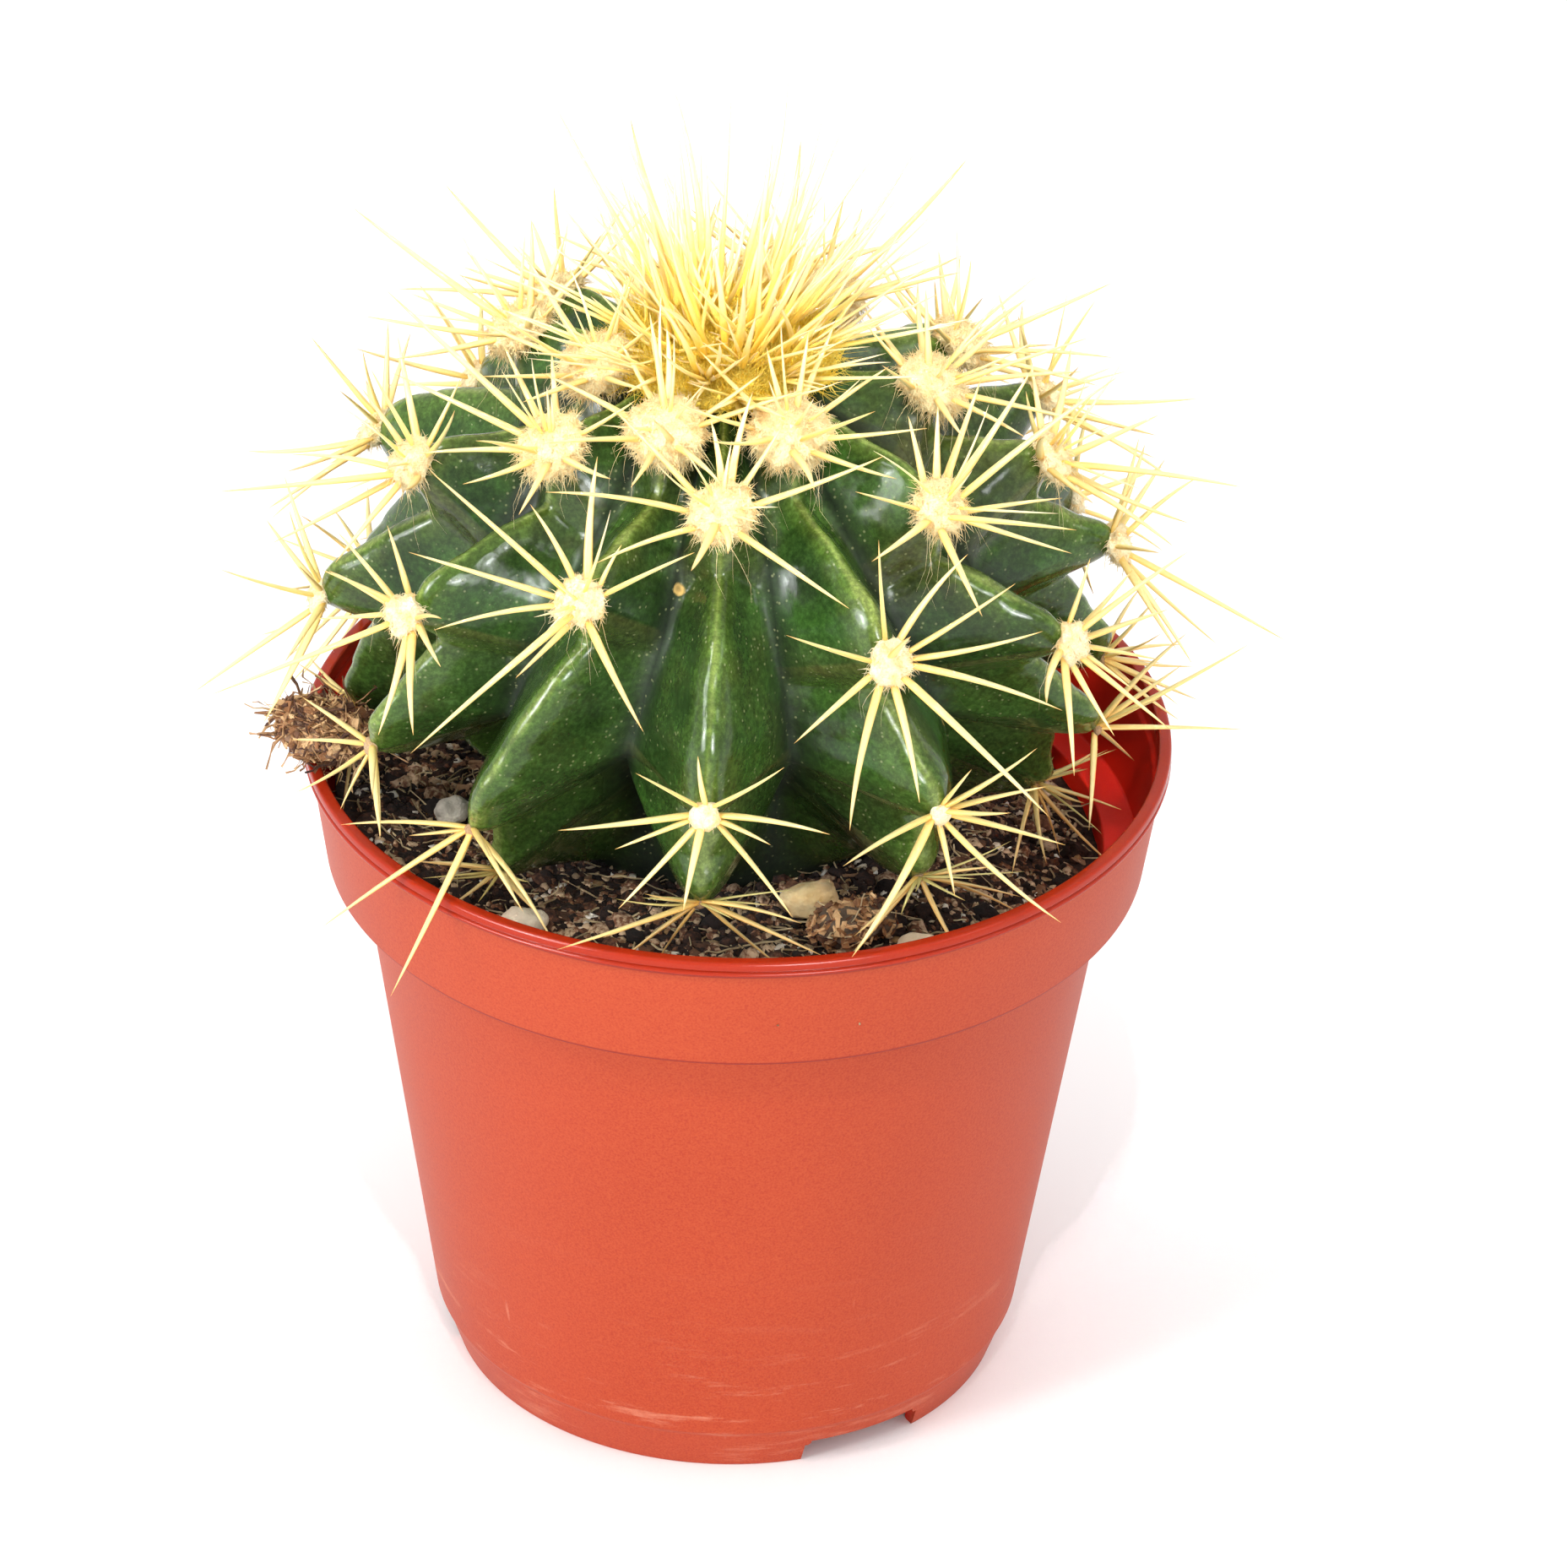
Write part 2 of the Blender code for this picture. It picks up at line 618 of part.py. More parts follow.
class Clearance:
    """Keeps every new spine clear of the stem, the pot, the soil and the spines already placed."""

    def __init__(self, trees):
        self.trees = trees
        self.spines = []
        self.pads = []

    def is_free(self, name, start, end):
        margin = CROWN_CLEARANCE if name == "crown" else SPINE_CLEARANCE
        for step in range(1, 13):
            share = step / 12
            point = start.lerp(end, share)
            distance = min(share * 8, 1.0) * SPINE_CLEARANCE + spine_radius(share)
            if not all(clear_of_surface(tree, point, distance) for tree in self.trees):
                return False
        for owner, centre, radius in self.pads:
            if owner != name and distance_to_stretch(centre, start, end) < radius + 2 * SPINE_CLEARANCE:
                return False
        for owner, other_start, other_end in self.spines:
            if owner == name or not boxes_near(start, end, other_start, other_end):
                continue
            share, other_share = closest_shares(start, end, other_start, other_end)
            gap = (start.lerp(end, share) - other_start.lerp(other_end, other_share)).length
            if gap < spine_radius(share) + spine_radius(other_share) + margin:
                return False
        return True


def boxes_near(start, end, other_start, other_end):
    reach = 2 * SPINE_WIDTH
    for axis in range(3):
        low, high = sorted((start[axis], end[axis]))
        other_low, other_high = sorted((other_start[axis], other_end[axis]))
        if low > other_high + reach or other_low > high + reach:
            return False
    return True


def distance_to_stretch(point, start, end):
    along = end - start
    share = min(1.0, max(0.0, (point - start).dot(along) / along.dot(along)))
    return (point - start - along * share).length


def inside_limits(tip):
    return abs(tip.x) <= SPREAD_X and abs(tip.y) <= SPREAD_Y and tip.z <= TOP_TIP and tip.z >= 70 * MM


def side_towards(plan, tip):
    """Direction of a tip in the pad's own axes, raised where it would point below the pad."""
    local = pad_matrix(plan["frame"], plan["seat"]).inverted() @ tip
    local.z = max(local.z * plan["rise"], 0.1 * local.length)
    return local.normalized()


def root_on_pad(plan, tip):
    """Place on the pad's skin where a spine with this tip leaves it."""
    side = side_towards(plan, tip) * plan["radius"]
    side.z *= plan["rise"]
    return pad_matrix(plan["frame"], plan["seat"]) @ side


def settle_spine(clearance, plan, base, clock, rise, length):
    """The first free place for a spine near the one that is wanted, or None."""
    for shrink in (1.0, 0.85, 0.7, 0.55):
        for lift in (0, 6, 12, 20, 28, 38):
            for turn in (0, -7, 7, -14, 14):
                direction = direction_of(plan["frame"], clock + turn, min(88, rise + lift))
                tip = base + direction * length * shrink
                root = root_on_pad(plan, tip)
                if inside_limits(tip) and clearance.is_free(plan["name"], root, tip):
                    return root, tip
    return None


def pad_bmesh(radius, rise, detail):
    """A low dome with a flat base at height zero."""
    bm = bmesh.new()
    bmesh.ops.create_icosphere(bm, subdivisions=detail, radius=radius)
    for vert in bm.verts:
        vert.co.z = max(0.0, vert.co.z * rise)
    flat = [face for face in bm.faces if all(vert.co.z < 1e-7 for vert in face.verts)]
    bmesh.ops.dissolve_faces(bm, faces=flat)
    return bm


def grow_spine(bm, used, side, tip):
    """Draw one free face of the pad out to the spine's tip."""
    best = None
    for face in bm.faces:
        if face in used or len(face.verts) != 3 or face.normal.z < 0.05:
            continue
        score = face.calc_center_median().normalized().dot(side)
        if best is None or score > best[0]:
            best = (score, face)
    face = best[1]
    side_length = 1.52 * math.sqrt(face.calc_area())
    inset = max(0.02 * MM, 0.289 * (side_length - SPINE_WIDTH))
    result = bmesh.ops.inset_individual(bm, faces=[face], thickness=inset)
    used.update(result["faces"])
    used.add(face)
    poked = bmesh.ops.poke(bm, faces=[face])
    poked["verts"][0].co = tip
    used.update(poked["faces"])


def pad_matrix(frame, seat):
    _, normal, crownward, rightward = frame
    matrix = Matrix((rightward, crownward, normal)).transposed().to_4x4()
    matrix.translation = seat
    return matrix


def seat_height(tree, frame, radius):
    """How far out the pad's base must stand to keep its gap to the stem."""
    points = [Vector((0, 0, 0))]
    for ring_share in (0.33, 0.66, 1.0):
        for step in range(24):
            points.append(outward(step * math.tau / 24) * radius * ring_share)
    height = -0.5 * PAD_RADIUS
    while height < 2 * PAD_RADIUS:
        matrix = pad_matrix(frame, frame[0] + frame[1] * height)
        if all(clear_of_surface(tree, matrix @ point, GAP) for point in points):
            return height
        height += DROP_STEP
    return height


def cluster_object(name, plan, detail, material, collection):
    """One closed solid: a wool pad with its spines drawn out of it."""
    matrix = pad_matrix(plan["frame"], plan["seat"])
    bm = pad_bmesh(plan["radius"], plan["rise"], detail)
    bm.normal_update()
    used = set()
    for tip in plan["tips"]:
        grow_spine(bm, used, side_towards(plan, tip), matrix.inverted() @ tip)
    bmesh.ops.transform(bm, matrix=matrix, verts=bm.verts[:])
    return add_object(name, mesh_from_bmesh(name, bm), material, collection)


def crown_spines(rng):
    """Young spines that stand nearly upright in the crown's wool."""
    wanted = []
    for number in range(CROWN_SPINES):
        clock = number * 137.5
        ring_share = math.sqrt((number + 0.5) / CROWN_SPINES)
        rise = 86 - 46 * ring_share + rng.uniform(-6, 6)
        wanted.append((clock, rise, rng.uniform(19, 34) * MM))
    return wanted


def stretch_outermost(plans):
    """The outermost tip on each side, and the topmost, end exactly on the limits."""
    everything = [tip for plan in plans for tip in plan["tips"]]
    for axis, limit in ((0, SPREAD_X), (0, -SPREAD_X), (1, SPREAD_Y), (1, -SPREAD_Y)):
        sign = 1 if limit > 0 else -1
        far = max(everything, key=lambda tip: tip[axis] * sign)
        far[axis] = limit
    top = max(everything, key=lambda tip: tip.z)
    top.z = TOP_TIP


def plan_clusters(stem, others):
    """Seat every pad first, then settle the spines: named fans, usual fans, and the crown last."""
    stem_tree = evaluated_tree(stem)
    clearance = Clearance([stem_tree] + [evaluated_tree(obj) for obj in others])
    plans = []
    apex = neck_axis(GIRTH_HEIGHT + CROWN_RISE)
    crown_frame = (apex, Vector((0, 0, 1)), Vector((0, 1, 0)), Vector((1, 0, 0)))
    sites = [("crown", crown_frame, apex.z, CROWN_PAD_RADIUS, CROWN_PAD_RISE)]
    for letter, (_, _, heights) in RIBS.items():
        for number, value in enumerate(heights):
            height = value * MM
            frame = skin_frame(rib_azimuth(letter, height), height)
            sites.append((f"{letter}{number + 1}", frame, height, PAD_RADIUS, PAD_RISE))
    for name, frame, height, radius, rise in sites:
        seat = frame[0] + frame[1] * seat_height(stem_tree, frame, radius)
        clearance.pads.append((name, seat + frame[1] * 0.3 * radius, radius))
        plans.append({"name": name, "frame": frame, "seat": seat, "height": height,
                      "radius": radius, "rise": rise, "tips": []})
    order = sorted(plans, key=lambda plan: (plan["name"] not in RADIAL_FANS, plan["name"] == "crown"))
    for plan in order:
        rng = random.Random(plan["name"])
        name = plan["name"]
        if name == "crown":
            wanted = crown_spines(rng)
        else:
            wanted = wanted_spines(name, plan["height"], rng)
        for clock, rise, length in wanted:
            base = plan["seat"]
            if name == "crown":
                level = direction_of(plan["frame"], clock, 0)
                base = base + level * CROWN_PAD_RADIUS * 0.75 * (90 - rise) / 50
            placed = settle_spine(clearance, plan, base, clock, rise, length)
            if placed:
                clearance.spines.append((name, *placed))
                plan["tips"].append(placed[1])
    stretch_outermost(plans)
    return plans


def build_clusters(stem, others, collection):
    wool = make_material("wool and spines", (0.85, 0.74, 0.33), 0.7)
    crown_wool = make_material("crown wool", (0.92, 0.66, 0.12), 0.8)
    for plan in plan_clusters(stem, others):
        is_crown = plan["name"] == "crown"
        name = "crown" if is_crown else "spines_" + plan["name"]
        detail = 3 if is_crown else 2
        material = crown_wool if is_crown else wool
        cluster_object(name, plan, detail, material, collection)


def main():
    clear_scene()
    parts = new_collection("potted round cactus")
    cutters = new_collection("cutters")
    pot = build_pot(parts, cutters)
    soil = build_soil(parts)
    stem = build_stem(parts)
    bpy.context.view_layer.update()
    loose = build_loose_pieces([evaluated_tree(obj) for obj in (stem, pot, soil)], parts)
    build_clusters(stem, [pot, soil] + loose, parts)


main()
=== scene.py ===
import math
import random

import bmesh
import bpy
import numpy as np
from mathutils import Matrix, Vector, noise
from mathutils.bvhtree import BVHTree


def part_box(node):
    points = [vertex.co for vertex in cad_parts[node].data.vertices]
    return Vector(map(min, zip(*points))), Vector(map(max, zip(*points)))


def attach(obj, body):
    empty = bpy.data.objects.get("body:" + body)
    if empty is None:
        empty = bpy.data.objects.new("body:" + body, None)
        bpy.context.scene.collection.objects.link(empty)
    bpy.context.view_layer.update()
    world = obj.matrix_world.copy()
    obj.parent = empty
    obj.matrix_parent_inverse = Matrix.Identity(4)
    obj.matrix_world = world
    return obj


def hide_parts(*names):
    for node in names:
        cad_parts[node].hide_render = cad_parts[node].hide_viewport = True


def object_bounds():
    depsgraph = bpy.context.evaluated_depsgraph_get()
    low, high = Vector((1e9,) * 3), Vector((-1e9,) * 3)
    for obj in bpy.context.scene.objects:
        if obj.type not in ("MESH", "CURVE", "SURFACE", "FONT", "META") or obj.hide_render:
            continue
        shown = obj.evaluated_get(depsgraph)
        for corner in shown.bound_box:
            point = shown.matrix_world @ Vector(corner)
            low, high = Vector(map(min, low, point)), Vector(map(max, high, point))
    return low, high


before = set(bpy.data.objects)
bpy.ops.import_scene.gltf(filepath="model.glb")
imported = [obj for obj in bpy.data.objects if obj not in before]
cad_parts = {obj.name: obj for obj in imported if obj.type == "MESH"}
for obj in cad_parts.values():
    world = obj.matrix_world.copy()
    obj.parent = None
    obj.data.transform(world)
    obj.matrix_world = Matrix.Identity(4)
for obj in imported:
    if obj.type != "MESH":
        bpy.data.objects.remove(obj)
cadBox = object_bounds()
print("frame loaded, nodes:", len(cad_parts))


# node tools: a wire is one output of a node, and plain arithmetic joins wires with math nodes

class Wire:
    def __init__(self, tree, socket):
        self.tree, self.socket = tree, socket

    def __add__(self, other):
        return joined("ADD", self, other)

    def __sub__(self, other):
        return joined("SUBTRACT", self, other)

    def __rsub__(self, other):
        return joined("SUBTRACT", other, self)

    def __mul__(self, other):
        return joined("MULTIPLY", self, other)

    def __truediv__(self, other):
        return joined("DIVIDE", self, other)


def put(tree, kind, inputs=None, **settings):
    made = tree.nodes.new(kind)
    for name, value in settings.items():
        setattr(made, name, value)
    for name, value in (inputs or {}).items():
        if isinstance(value, Wire):
            tree.links.new(value.socket, made.inputs[name])
        else:
            made.inputs[name].default_value = value
    return made


def wire(tree, kind, inputs=None, out=0, **settings):
    return Wire(tree, put(tree, kind, inputs, **settings).outputs[out])


def joined(operation, first, second=0.0):
    tree = first.tree if isinstance(first, Wire) else second.tree
    return wire(tree, "ShaderNodeMath", {0: first, 1: second}, operation=operation)


def paint(color):
    # a number is a grey, and three numbers are an opaque colour
    if isinstance(color, Wire):
        return color
    if isinstance(color, (int, float)):
        return (color, color, color, 1.0)
    return (*color, 1.0)


def mix(amount, first, second, blend="MIX"):
    tree = next(part.tree for part in (amount, first, second) if isinstance(part, Wire))
    inputs = {0: amount, 6: paint(first), 7: paint(second)}
    return wire(tree, "ShaderNodeMix", inputs, 2, data_type="RGBA", blend_type=blend)


def ramp(source, *stops):
    made = put(source.tree, "ShaderNodeValToRGB", {0: source})
    band = made.color_ramp
    while len(band.elements) < len(stops):
        band.elements.new(0.5)
    for element, (place, color) in zip(band.elements, stops):
        element.position = place
        element.color = paint(color)
    return Wire(source.tree, made.outputs[0])


def noiseAt(place, scale, detail=2.0, out=0, **more):
    inputs = {"Vector": place, "Scale": scale, "Detail": detail, **more}
    return wire(place.tree, "ShaderNodeTexNoise", inputs, out)


def cellsAt(place, scale):
    made = put(place.tree, "ShaderNodeTexVoronoi", {"Vector": place, "Scale": scale, "Randomness": 1.0})
    return Wire(place.tree, made.outputs["Distance"]), Wire(place.tree, made.outputs["Color"])


def stretched(place, scale, turn=(0.0, 0.0, 0.0)):
    return wire(place.tree, "ShaderNodeMapping", {"Vector": place, "Scale": scale, "Rotation": turn})


def channel(color, number):
    return wire(color.tree, "ShaderNodeSeparateColor", {0: color}, number)


def axis(vector, number):
    return wire(vector.tree, "ShaderNodeSeparateXYZ", {0: vector}, number)


def scaled(vector, amount):
    return wire(amount.tree, "ShaderNodeVectorMath", {0: vector, "Scale": amount}, operation="SCALE")


def newMaterial(name, roughness, specular=0.5):
    material = bpy.data.materials.new(name)
    material.use_nodes = True
    tree = material.node_tree
    shader = tree.nodes["Principled BSDF"]
    shader.inputs["Roughness"].default_value = roughness
    shader.inputs["Specular IOR Level"].default_value = specular
    return material, shader, wire(tree, "ShaderNodeTexCoord", out="Object")


def attribute(place, name):
    return wire(place.tree, "ShaderNodeAttribute", out="Fac", attribute_name=name)


def feed(shader, label, source):
    source.tree.links.new(source.socket, shader.inputs[label])


def bump(shader, height, strength, distance):
    inputs = {"Height": height, "Strength": strength, "Distance": distance}
    feed(shader, "Normal", wire(height.tree, "ShaderNodeBump", inputs))


# geometry node tools

def newGrower(name, sizes):
    tree = bpy.data.node_groups.new(name, "GeometryNodeTree")
    face = tree.interface
    face.new_socket("Geometry", in_out="INPUT", socket_type="NodeSocketGeometry")
    face.new_socket("Geometry", in_out="OUTPUT", socket_type="NodeSocketGeometry")
    for label, value in sizes.items():
        kind = "NodeSocketInt" if isinstance(value, int) else "NodeSocketFloat"
        face.new_socket(label, in_out="INPUT", socket_type=kind).default_value = value
    sockets = tree.nodes.new("NodeGroupInput").outputs
    return tree, {socket.name: Wire(tree, socket) for socket in sockets if socket.name}


def realized(geometry):
    return wire(geometry.tree, "GeometryNodeRealizeInstances", {"Geometry": geometry})


def growMesh(name, base, geometry, material):
    # ends the tree, runs it on a base mesh and keeps the plain result
    tree = geometry.tree
    done = wire(tree, "GeometryNodeSetMaterial", {"Geometry": realized(geometry), "Material": material})
    tree.links.new(done.socket, tree.nodes.new("NodeGroupOutput").inputs["Geometry"])
    source = placed(name + "Base", base)
    grower = source.modifiers.new(tree.name, "NODES")
    grower.node_group = tree
    mesh = applied(source)
    mesh.name = name
    source.modifiers.remove(grower)
    bpy.data.objects.remove(source, do_unlink=True)
    return mesh


def named(tree, name, kind="FLOAT"):
    return wire(tree, "GeometryNodeInputNamedAttribute", {"Name": name}, data_type=kind)


def storeOn(geometry, name, value, domain="POINT"):
    inputs = {"Geometry": geometry, "Name": name, "Value": value}
    return wire(geometry.tree, "GeometryNodeStoreNamedAttribute", inputs, data_type="FLOAT", domain=domain)


def position(tree):
    return wire(tree, "GeometryNodeInputPosition")


def moveBy(geometry, offset):
    return wire(geometry.tree, "GeometryNodeSetPosition", {"Geometry": geometry, "Offset": offset})


def chance(low, high, seed):
    # a random number for each point, or a random vector if the limits are vectors
    kind = "FunctionNodeRandomValue"
    if isinstance(low, tuple):
        return wire(seed.tree, kind, {0: low, 1: high, "Seed": seed}, data_type="FLOAT_VECTOR")
    return wire(seed.tree, kind, {2: low, 3: high, "Seed": seed}, 1, data_type="FLOAT")


def centredNoise(place, scale):
    color = noiseAt(place, scale, 1.0, 1)
    half = {0: color, 1: (0.5, 0.5, 0.5)}
    return wire(place.tree, "ShaderNodeVectorMath", half, operation="SUBTRACT")


def scatter(entry, density, **more):
    inputs = {"Mesh": entry["Geometry"], "Density": density, "Seed": entry["Seed"], **more}
    spread = put(density.tree, "GeometryNodeDistributePointsOnFaces", inputs)
    return Wire(density.tree, spread.outputs[0]), Wire(density.tree, spread.outputs["Rotation"])


def standOn(points, body, turn, tilt, size):
    turned = wire(points.tree, "FunctionNodeRotateRotation", {0: turn, 1: tilt}, rotation_space="LOCAL")
    inputs = {"Points": points, "Instance": body, "Rotation": turned, "Scale": size}
    return wire(points.tree, "GeometryNodeInstanceOnPoints", inputs)


def straightLine(tree, start, end, points):
    line = wire(tree, "GeometryNodeCurvePrimitiveLine", {"Start": start, "End": end})
    return wire(tree, "GeometryNodeResampleCurve", {"Curve": line, "Count": points})


def splineShare(tree):
    return wire(tree, "GeometryNodeSplineParameter", out="Factor")


def ringCurve(tree, sides, radius):
    return wire(tree, "GeometryNodeCurvePrimitiveCircle", {"Resolution": sides, "Radius": radius})


def swept(line, profile, **more):
    return wire(line.tree, "GeometryNodeCurveToMesh", {0: line, 1: profile, **more})


# object and mesh tools

def placed(name, data):
    made = bpy.data.objects.new(name, data)
    bpy.context.scene.collection.objects.link(made)
    return made


def applied(holder):
    bpy.context.view_layer.update()
    ready = holder.evaluated_get(bpy.context.evaluated_depsgraph_get())
    return bpy.data.meshes.new_from_object(ready)


def newPiece(name, mesh, slotName, *nodes):
    piece = placed(name, mesh)
    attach(piece, "root")
    if nodes:
        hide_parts(*nodes)
    print(name + ":", len(mesh.polygons), "faces")


def smooth(mesh):
    mesh.polygons.foreach_set("use_smooth", [True] * len(mesh.polygons))


def meshFrom(name, points, faces, material):
    mesh = bpy.data.meshes.new(name)
    mesh.from_pydata([tuple(p) for p in points], [], faces)
    mesh.materials.append(material)
    smooth(mesh)
    mesh.update()
    return mesh


def meshOf(name, bm, material=None):
    mesh = bpy.data.meshes.new(name)
    bm.to_mesh(mesh)
    bm.free()
    if material:
        mesh.materials.append(material)
    smooth(mesh)
    return mesh


def giveAttribute(mesh, name, values, kind="FLOAT"):
    # one value for each point, or a single number for them all
    if isinstance(values, float):
        values = [values] * len(mesh.vertices)
    given = mesh.attributes.new(name, kind, "POINT")
    label = "vector" if kind == "FLOAT_VECTOR" else "value"
    given.data.foreach_set(label, np.asarray(values, np.float32).ravel())


def mergedCopy(nodeName):
    bm = bmesh.new()
    bm.from_mesh(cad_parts[nodeName].data)
    bmesh.ops.remove_doubles(bm, verts=bm.verts[:], dist=0.00002)
    return bm


def smoothStep(share):
    share = np.clip(share, 0.0, 1.0)
    return share * share * (3 - 2 * share)


def outward(angle):
    return Vector((math.sin(angle), -math.cos(angle), 0.0))


def upBy(height):
    return Vector((0, 0, height))


def ringFaces(upper, lower, count):
    # quads between two rings of points, each given by the number of its first point
    pairs = [(c, (c + 1) % count) for c in range(count)]
    return [(upper + a, lower + a, lower + b, upper + b) for a, b in pairs]


def fanFaces(middle, ring, count, turned=False):
    pairs = [(ring + c, ring + (c + 1) % count) for c in range(count)]
    return [(middle, b, a) if turned else (middle, a, b) for a, b in pairs]


# the stem's envelope, anchored to the stem's own box

stemLow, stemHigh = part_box("cactus_stem")
stem = {
    "axisX": -0.0027, "lean": 0.008, "leanSpan": 0.048, "leanBase": 0.113,
    "girthRadius": 0.055, "girthHeight": 0.1155, "crownPower": 2.3,
    "undersideRadius": 0.040, "undersideHeight": 0.088, "footHeight": 0.09,
    "neckRadius": 0.0258, "neckHeight": 0.086, "neckEnd": 0.001,
    "rows": 170, "segments": 24, "firstRow": 0.0012, "sortRow": 60,
    "furrowShare": 0.31, "footFurrowShare": 0.42,
    "waist": 0.0105, "waistStep": 0.0058, "waistSpan": 0.022, "waistSpread": 0.65, "topWaist": 0.55,
    "tuck": 0.012, "tuckStep": 0.011, "tuckRoom": 0.016,
    "bulge": 0.0013, "bulgeAt": 0.8, "crestRound": 0.15, "chinRound": 0.30,
    "ridgeShare": 0.27, "ridgeWidth": 0.36, "padShade": 0.004,
    "ripple": 0.0008, "rippleScale": 85.0, "crease": 0.00028, "creaseScale": 260.0,
}


def axisAt(height):
    shift = stem["lean"] * (height - stem["leanBase"]) / stem["leanSpan"]
    return Vector((stem["axisX"], -shift, height))


def envelopeRadius(height):
    rise = (height - stem["girthHeight"]) / (stemHigh.z - stem["girthHeight"])
    power = stem["crownPower"]
    if rise >= 0:
        return stem["girthRadius"] * max(1.0 - rise ** power, 0.0) ** (1.0 / power)
    fall = (stem["girthHeight"] - height) / (stem["girthHeight"] - stem["undersideHeight"])
    return stem["girthRadius"] - (stem["girthRadius"] - stem["undersideRadius"]) * min(fall, 1.0) ** 2


# areoles and needles are read from the frame's own spine clusters

def readCluster(nodeName, padReach, shortest=0.003):
    # a needle's tip has three edges and stands clear of the pad
    bm = mergedCopy(nodeName)
    middle = Vector(np.median([v.co[:] for v in bm.verts], axis=0))
    needles, pad = [], []
    for vert in bm.verts:
        if len(vert.link_edges) == 3 and (vert.co - middle).length > padReach:
            root = sum((edge.other_vert(vert).co for edge in vert.link_edges), Vector()) / 3
            if (root - vert.co).length > shortest:
                needles.append((root, vert.co.copy()))
                continue
        pad.append(vert.co.copy())
    bm.free()
    pad = [p for p in pad if (p - middle).length < 1.6 * padReach]
    return {"node": nodeName, "seat": sum(pad, Vector()) / len(pad), "needles": needles}


areoles = [readCluster(n, 0.0042) for n in sorted(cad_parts) if n.startswith("spines_")]
crown = readCluster("crown", 0.0145)
ribs = {}
for areole in areoles:
    ribs.setdefault(areole["node"][7], []).append(areole)
    centre = axisAt(areole["seat"].z)
    areole["angle"] = math.atan2(areole["seat"].x - centre.x, centre.y - areole["seat"].y)
needleCount = sum(len(a["needles"]) for a in areoles)
print("areoles:", len(areoles), "needles:", needleCount, "crown:", len(crown["needles"]))


# skin of the stem: a smooth barrel with its rib rule in attributes, shaped by Geometry Nodes

def barrelRows():
    # rows at even steps along the envelope's outline, from the crown down
    turns = [math.pi / 2 * (1 - number / 399) for number in range(400)]
    climb = stemHigh.z - stem["girthHeight"]
    above = [stem["girthHeight"] + climb * math.sin(t) ** (2 / stem["crownPower"]) for t in turns]
    below = np.linspace(stem["girthHeight"], stem["undersideHeight"], 200)[1:]
    heights = np.array(above + list(below))
    radii = np.array([envelopeRadius(h) for h in heights])
    arc = np.concatenate([[0], np.cumsum(np.hypot(np.diff(heights), np.diff(radii)))])
    wanted = np.linspace(stem["firstRow"], arc[-1], stem["rows"])
    return wanted, np.interp(wanted, arc, radii), np.interp(wanted, arc, heights)


def smoothedCourse(arc, anchors, angles):
    course = np.pad(np.interp(arc, anchors, angles), 8, mode="edge")
    return np.convolve(course, np.ones(17) / 17, mode="valid")


def ribRule(arc, radii, heights):
    # for each rib, row by row: its angle, how far it is drawn in, its crest's rounding, the way below its pad
    rule = []
    for group in ribs.values():
        anchors, angles = [], []
        for areole in group:
            seat, centre = areole["seat"], axisAt(areole["seat"].z)
            reach = math.hypot(seat.x - centre.x, seat.y - centre.y)
            anchors.append(arc[int(np.argmin(np.hypot(radii - reach, heights - seat.z)))])
            angle = areole["angle"]
            if angles:
                angle = angles[-1] + (angle - angles[-1] + math.pi) % math.tau - math.pi
            angles.append(angle)
        waist = np.zeros(len(arc))
        below = np.full(len(arc), 9.0)
        nose = np.full(len(arc), 0.4)
        for upper, lower in zip([0.0] + anchors, anchors):
            inside = (arc >= upper) & (arc <= lower)
            share = (arc - upper) / (lower - upper)
            size = min(1.0, (lower - upper) / stem["waistSpan"]) * (stem["topWaist"] if upper == 0 else 1.0)
            step = smoothStep((arc - upper) / stem["waistStep"]) * np.clip(1 - share, 0, 1) ** 1.2
            hump = np.clip(1 - np.abs(share - stem["bulgeAt"]) / 0.2, 0, 1)
            shape = stem["waist"] * size * step - stem["bulge"] * smoothStep(hump)
            waist[inside] = shape[inside]
            below[inside] = (arc - upper)[inside]
            nose[inside] = smoothStep(share)[inside]
        last = arc > anchors[-1]
        lowest = heights[np.argmin(np.abs(arc - anchors[-1]))]
        room = min(1.0, max(0.25, (lowest - stem["undersideHeight"]) / stem["tuckRoom"]))
        waist[last] = (stem["tuck"] * room * smoothStep((arc - anchors[-1]) / stem["tuckStep"]))[last]
        below[last] = (arc - anchors[-1])[last]
        rounding = stem["crestRound"] + (stem["chinRound"] - stem["crestRound"]) * nose
        course = smoothedCourse(arc, anchors, angles)
        rule.append({"course": course, "waist": waist, "rounding": rounding, "below": below})
    # the ribs are put in order within one turn round the stem
    row = stem["sortRow"]
    start = rule[0]["course"][row]
    for rib in rule:
        turns = round((rib["course"][row] - start) / math.tau - 0.02)
        while rib["course"][row] < start - 0.1:
            rib["course"] = rib["course"] + math.tau
        rib["course"] = rib["course"] - math.tau * max(0, turns)
    rule.sort(key=lambda rib: rib["course"][row])
    return rule


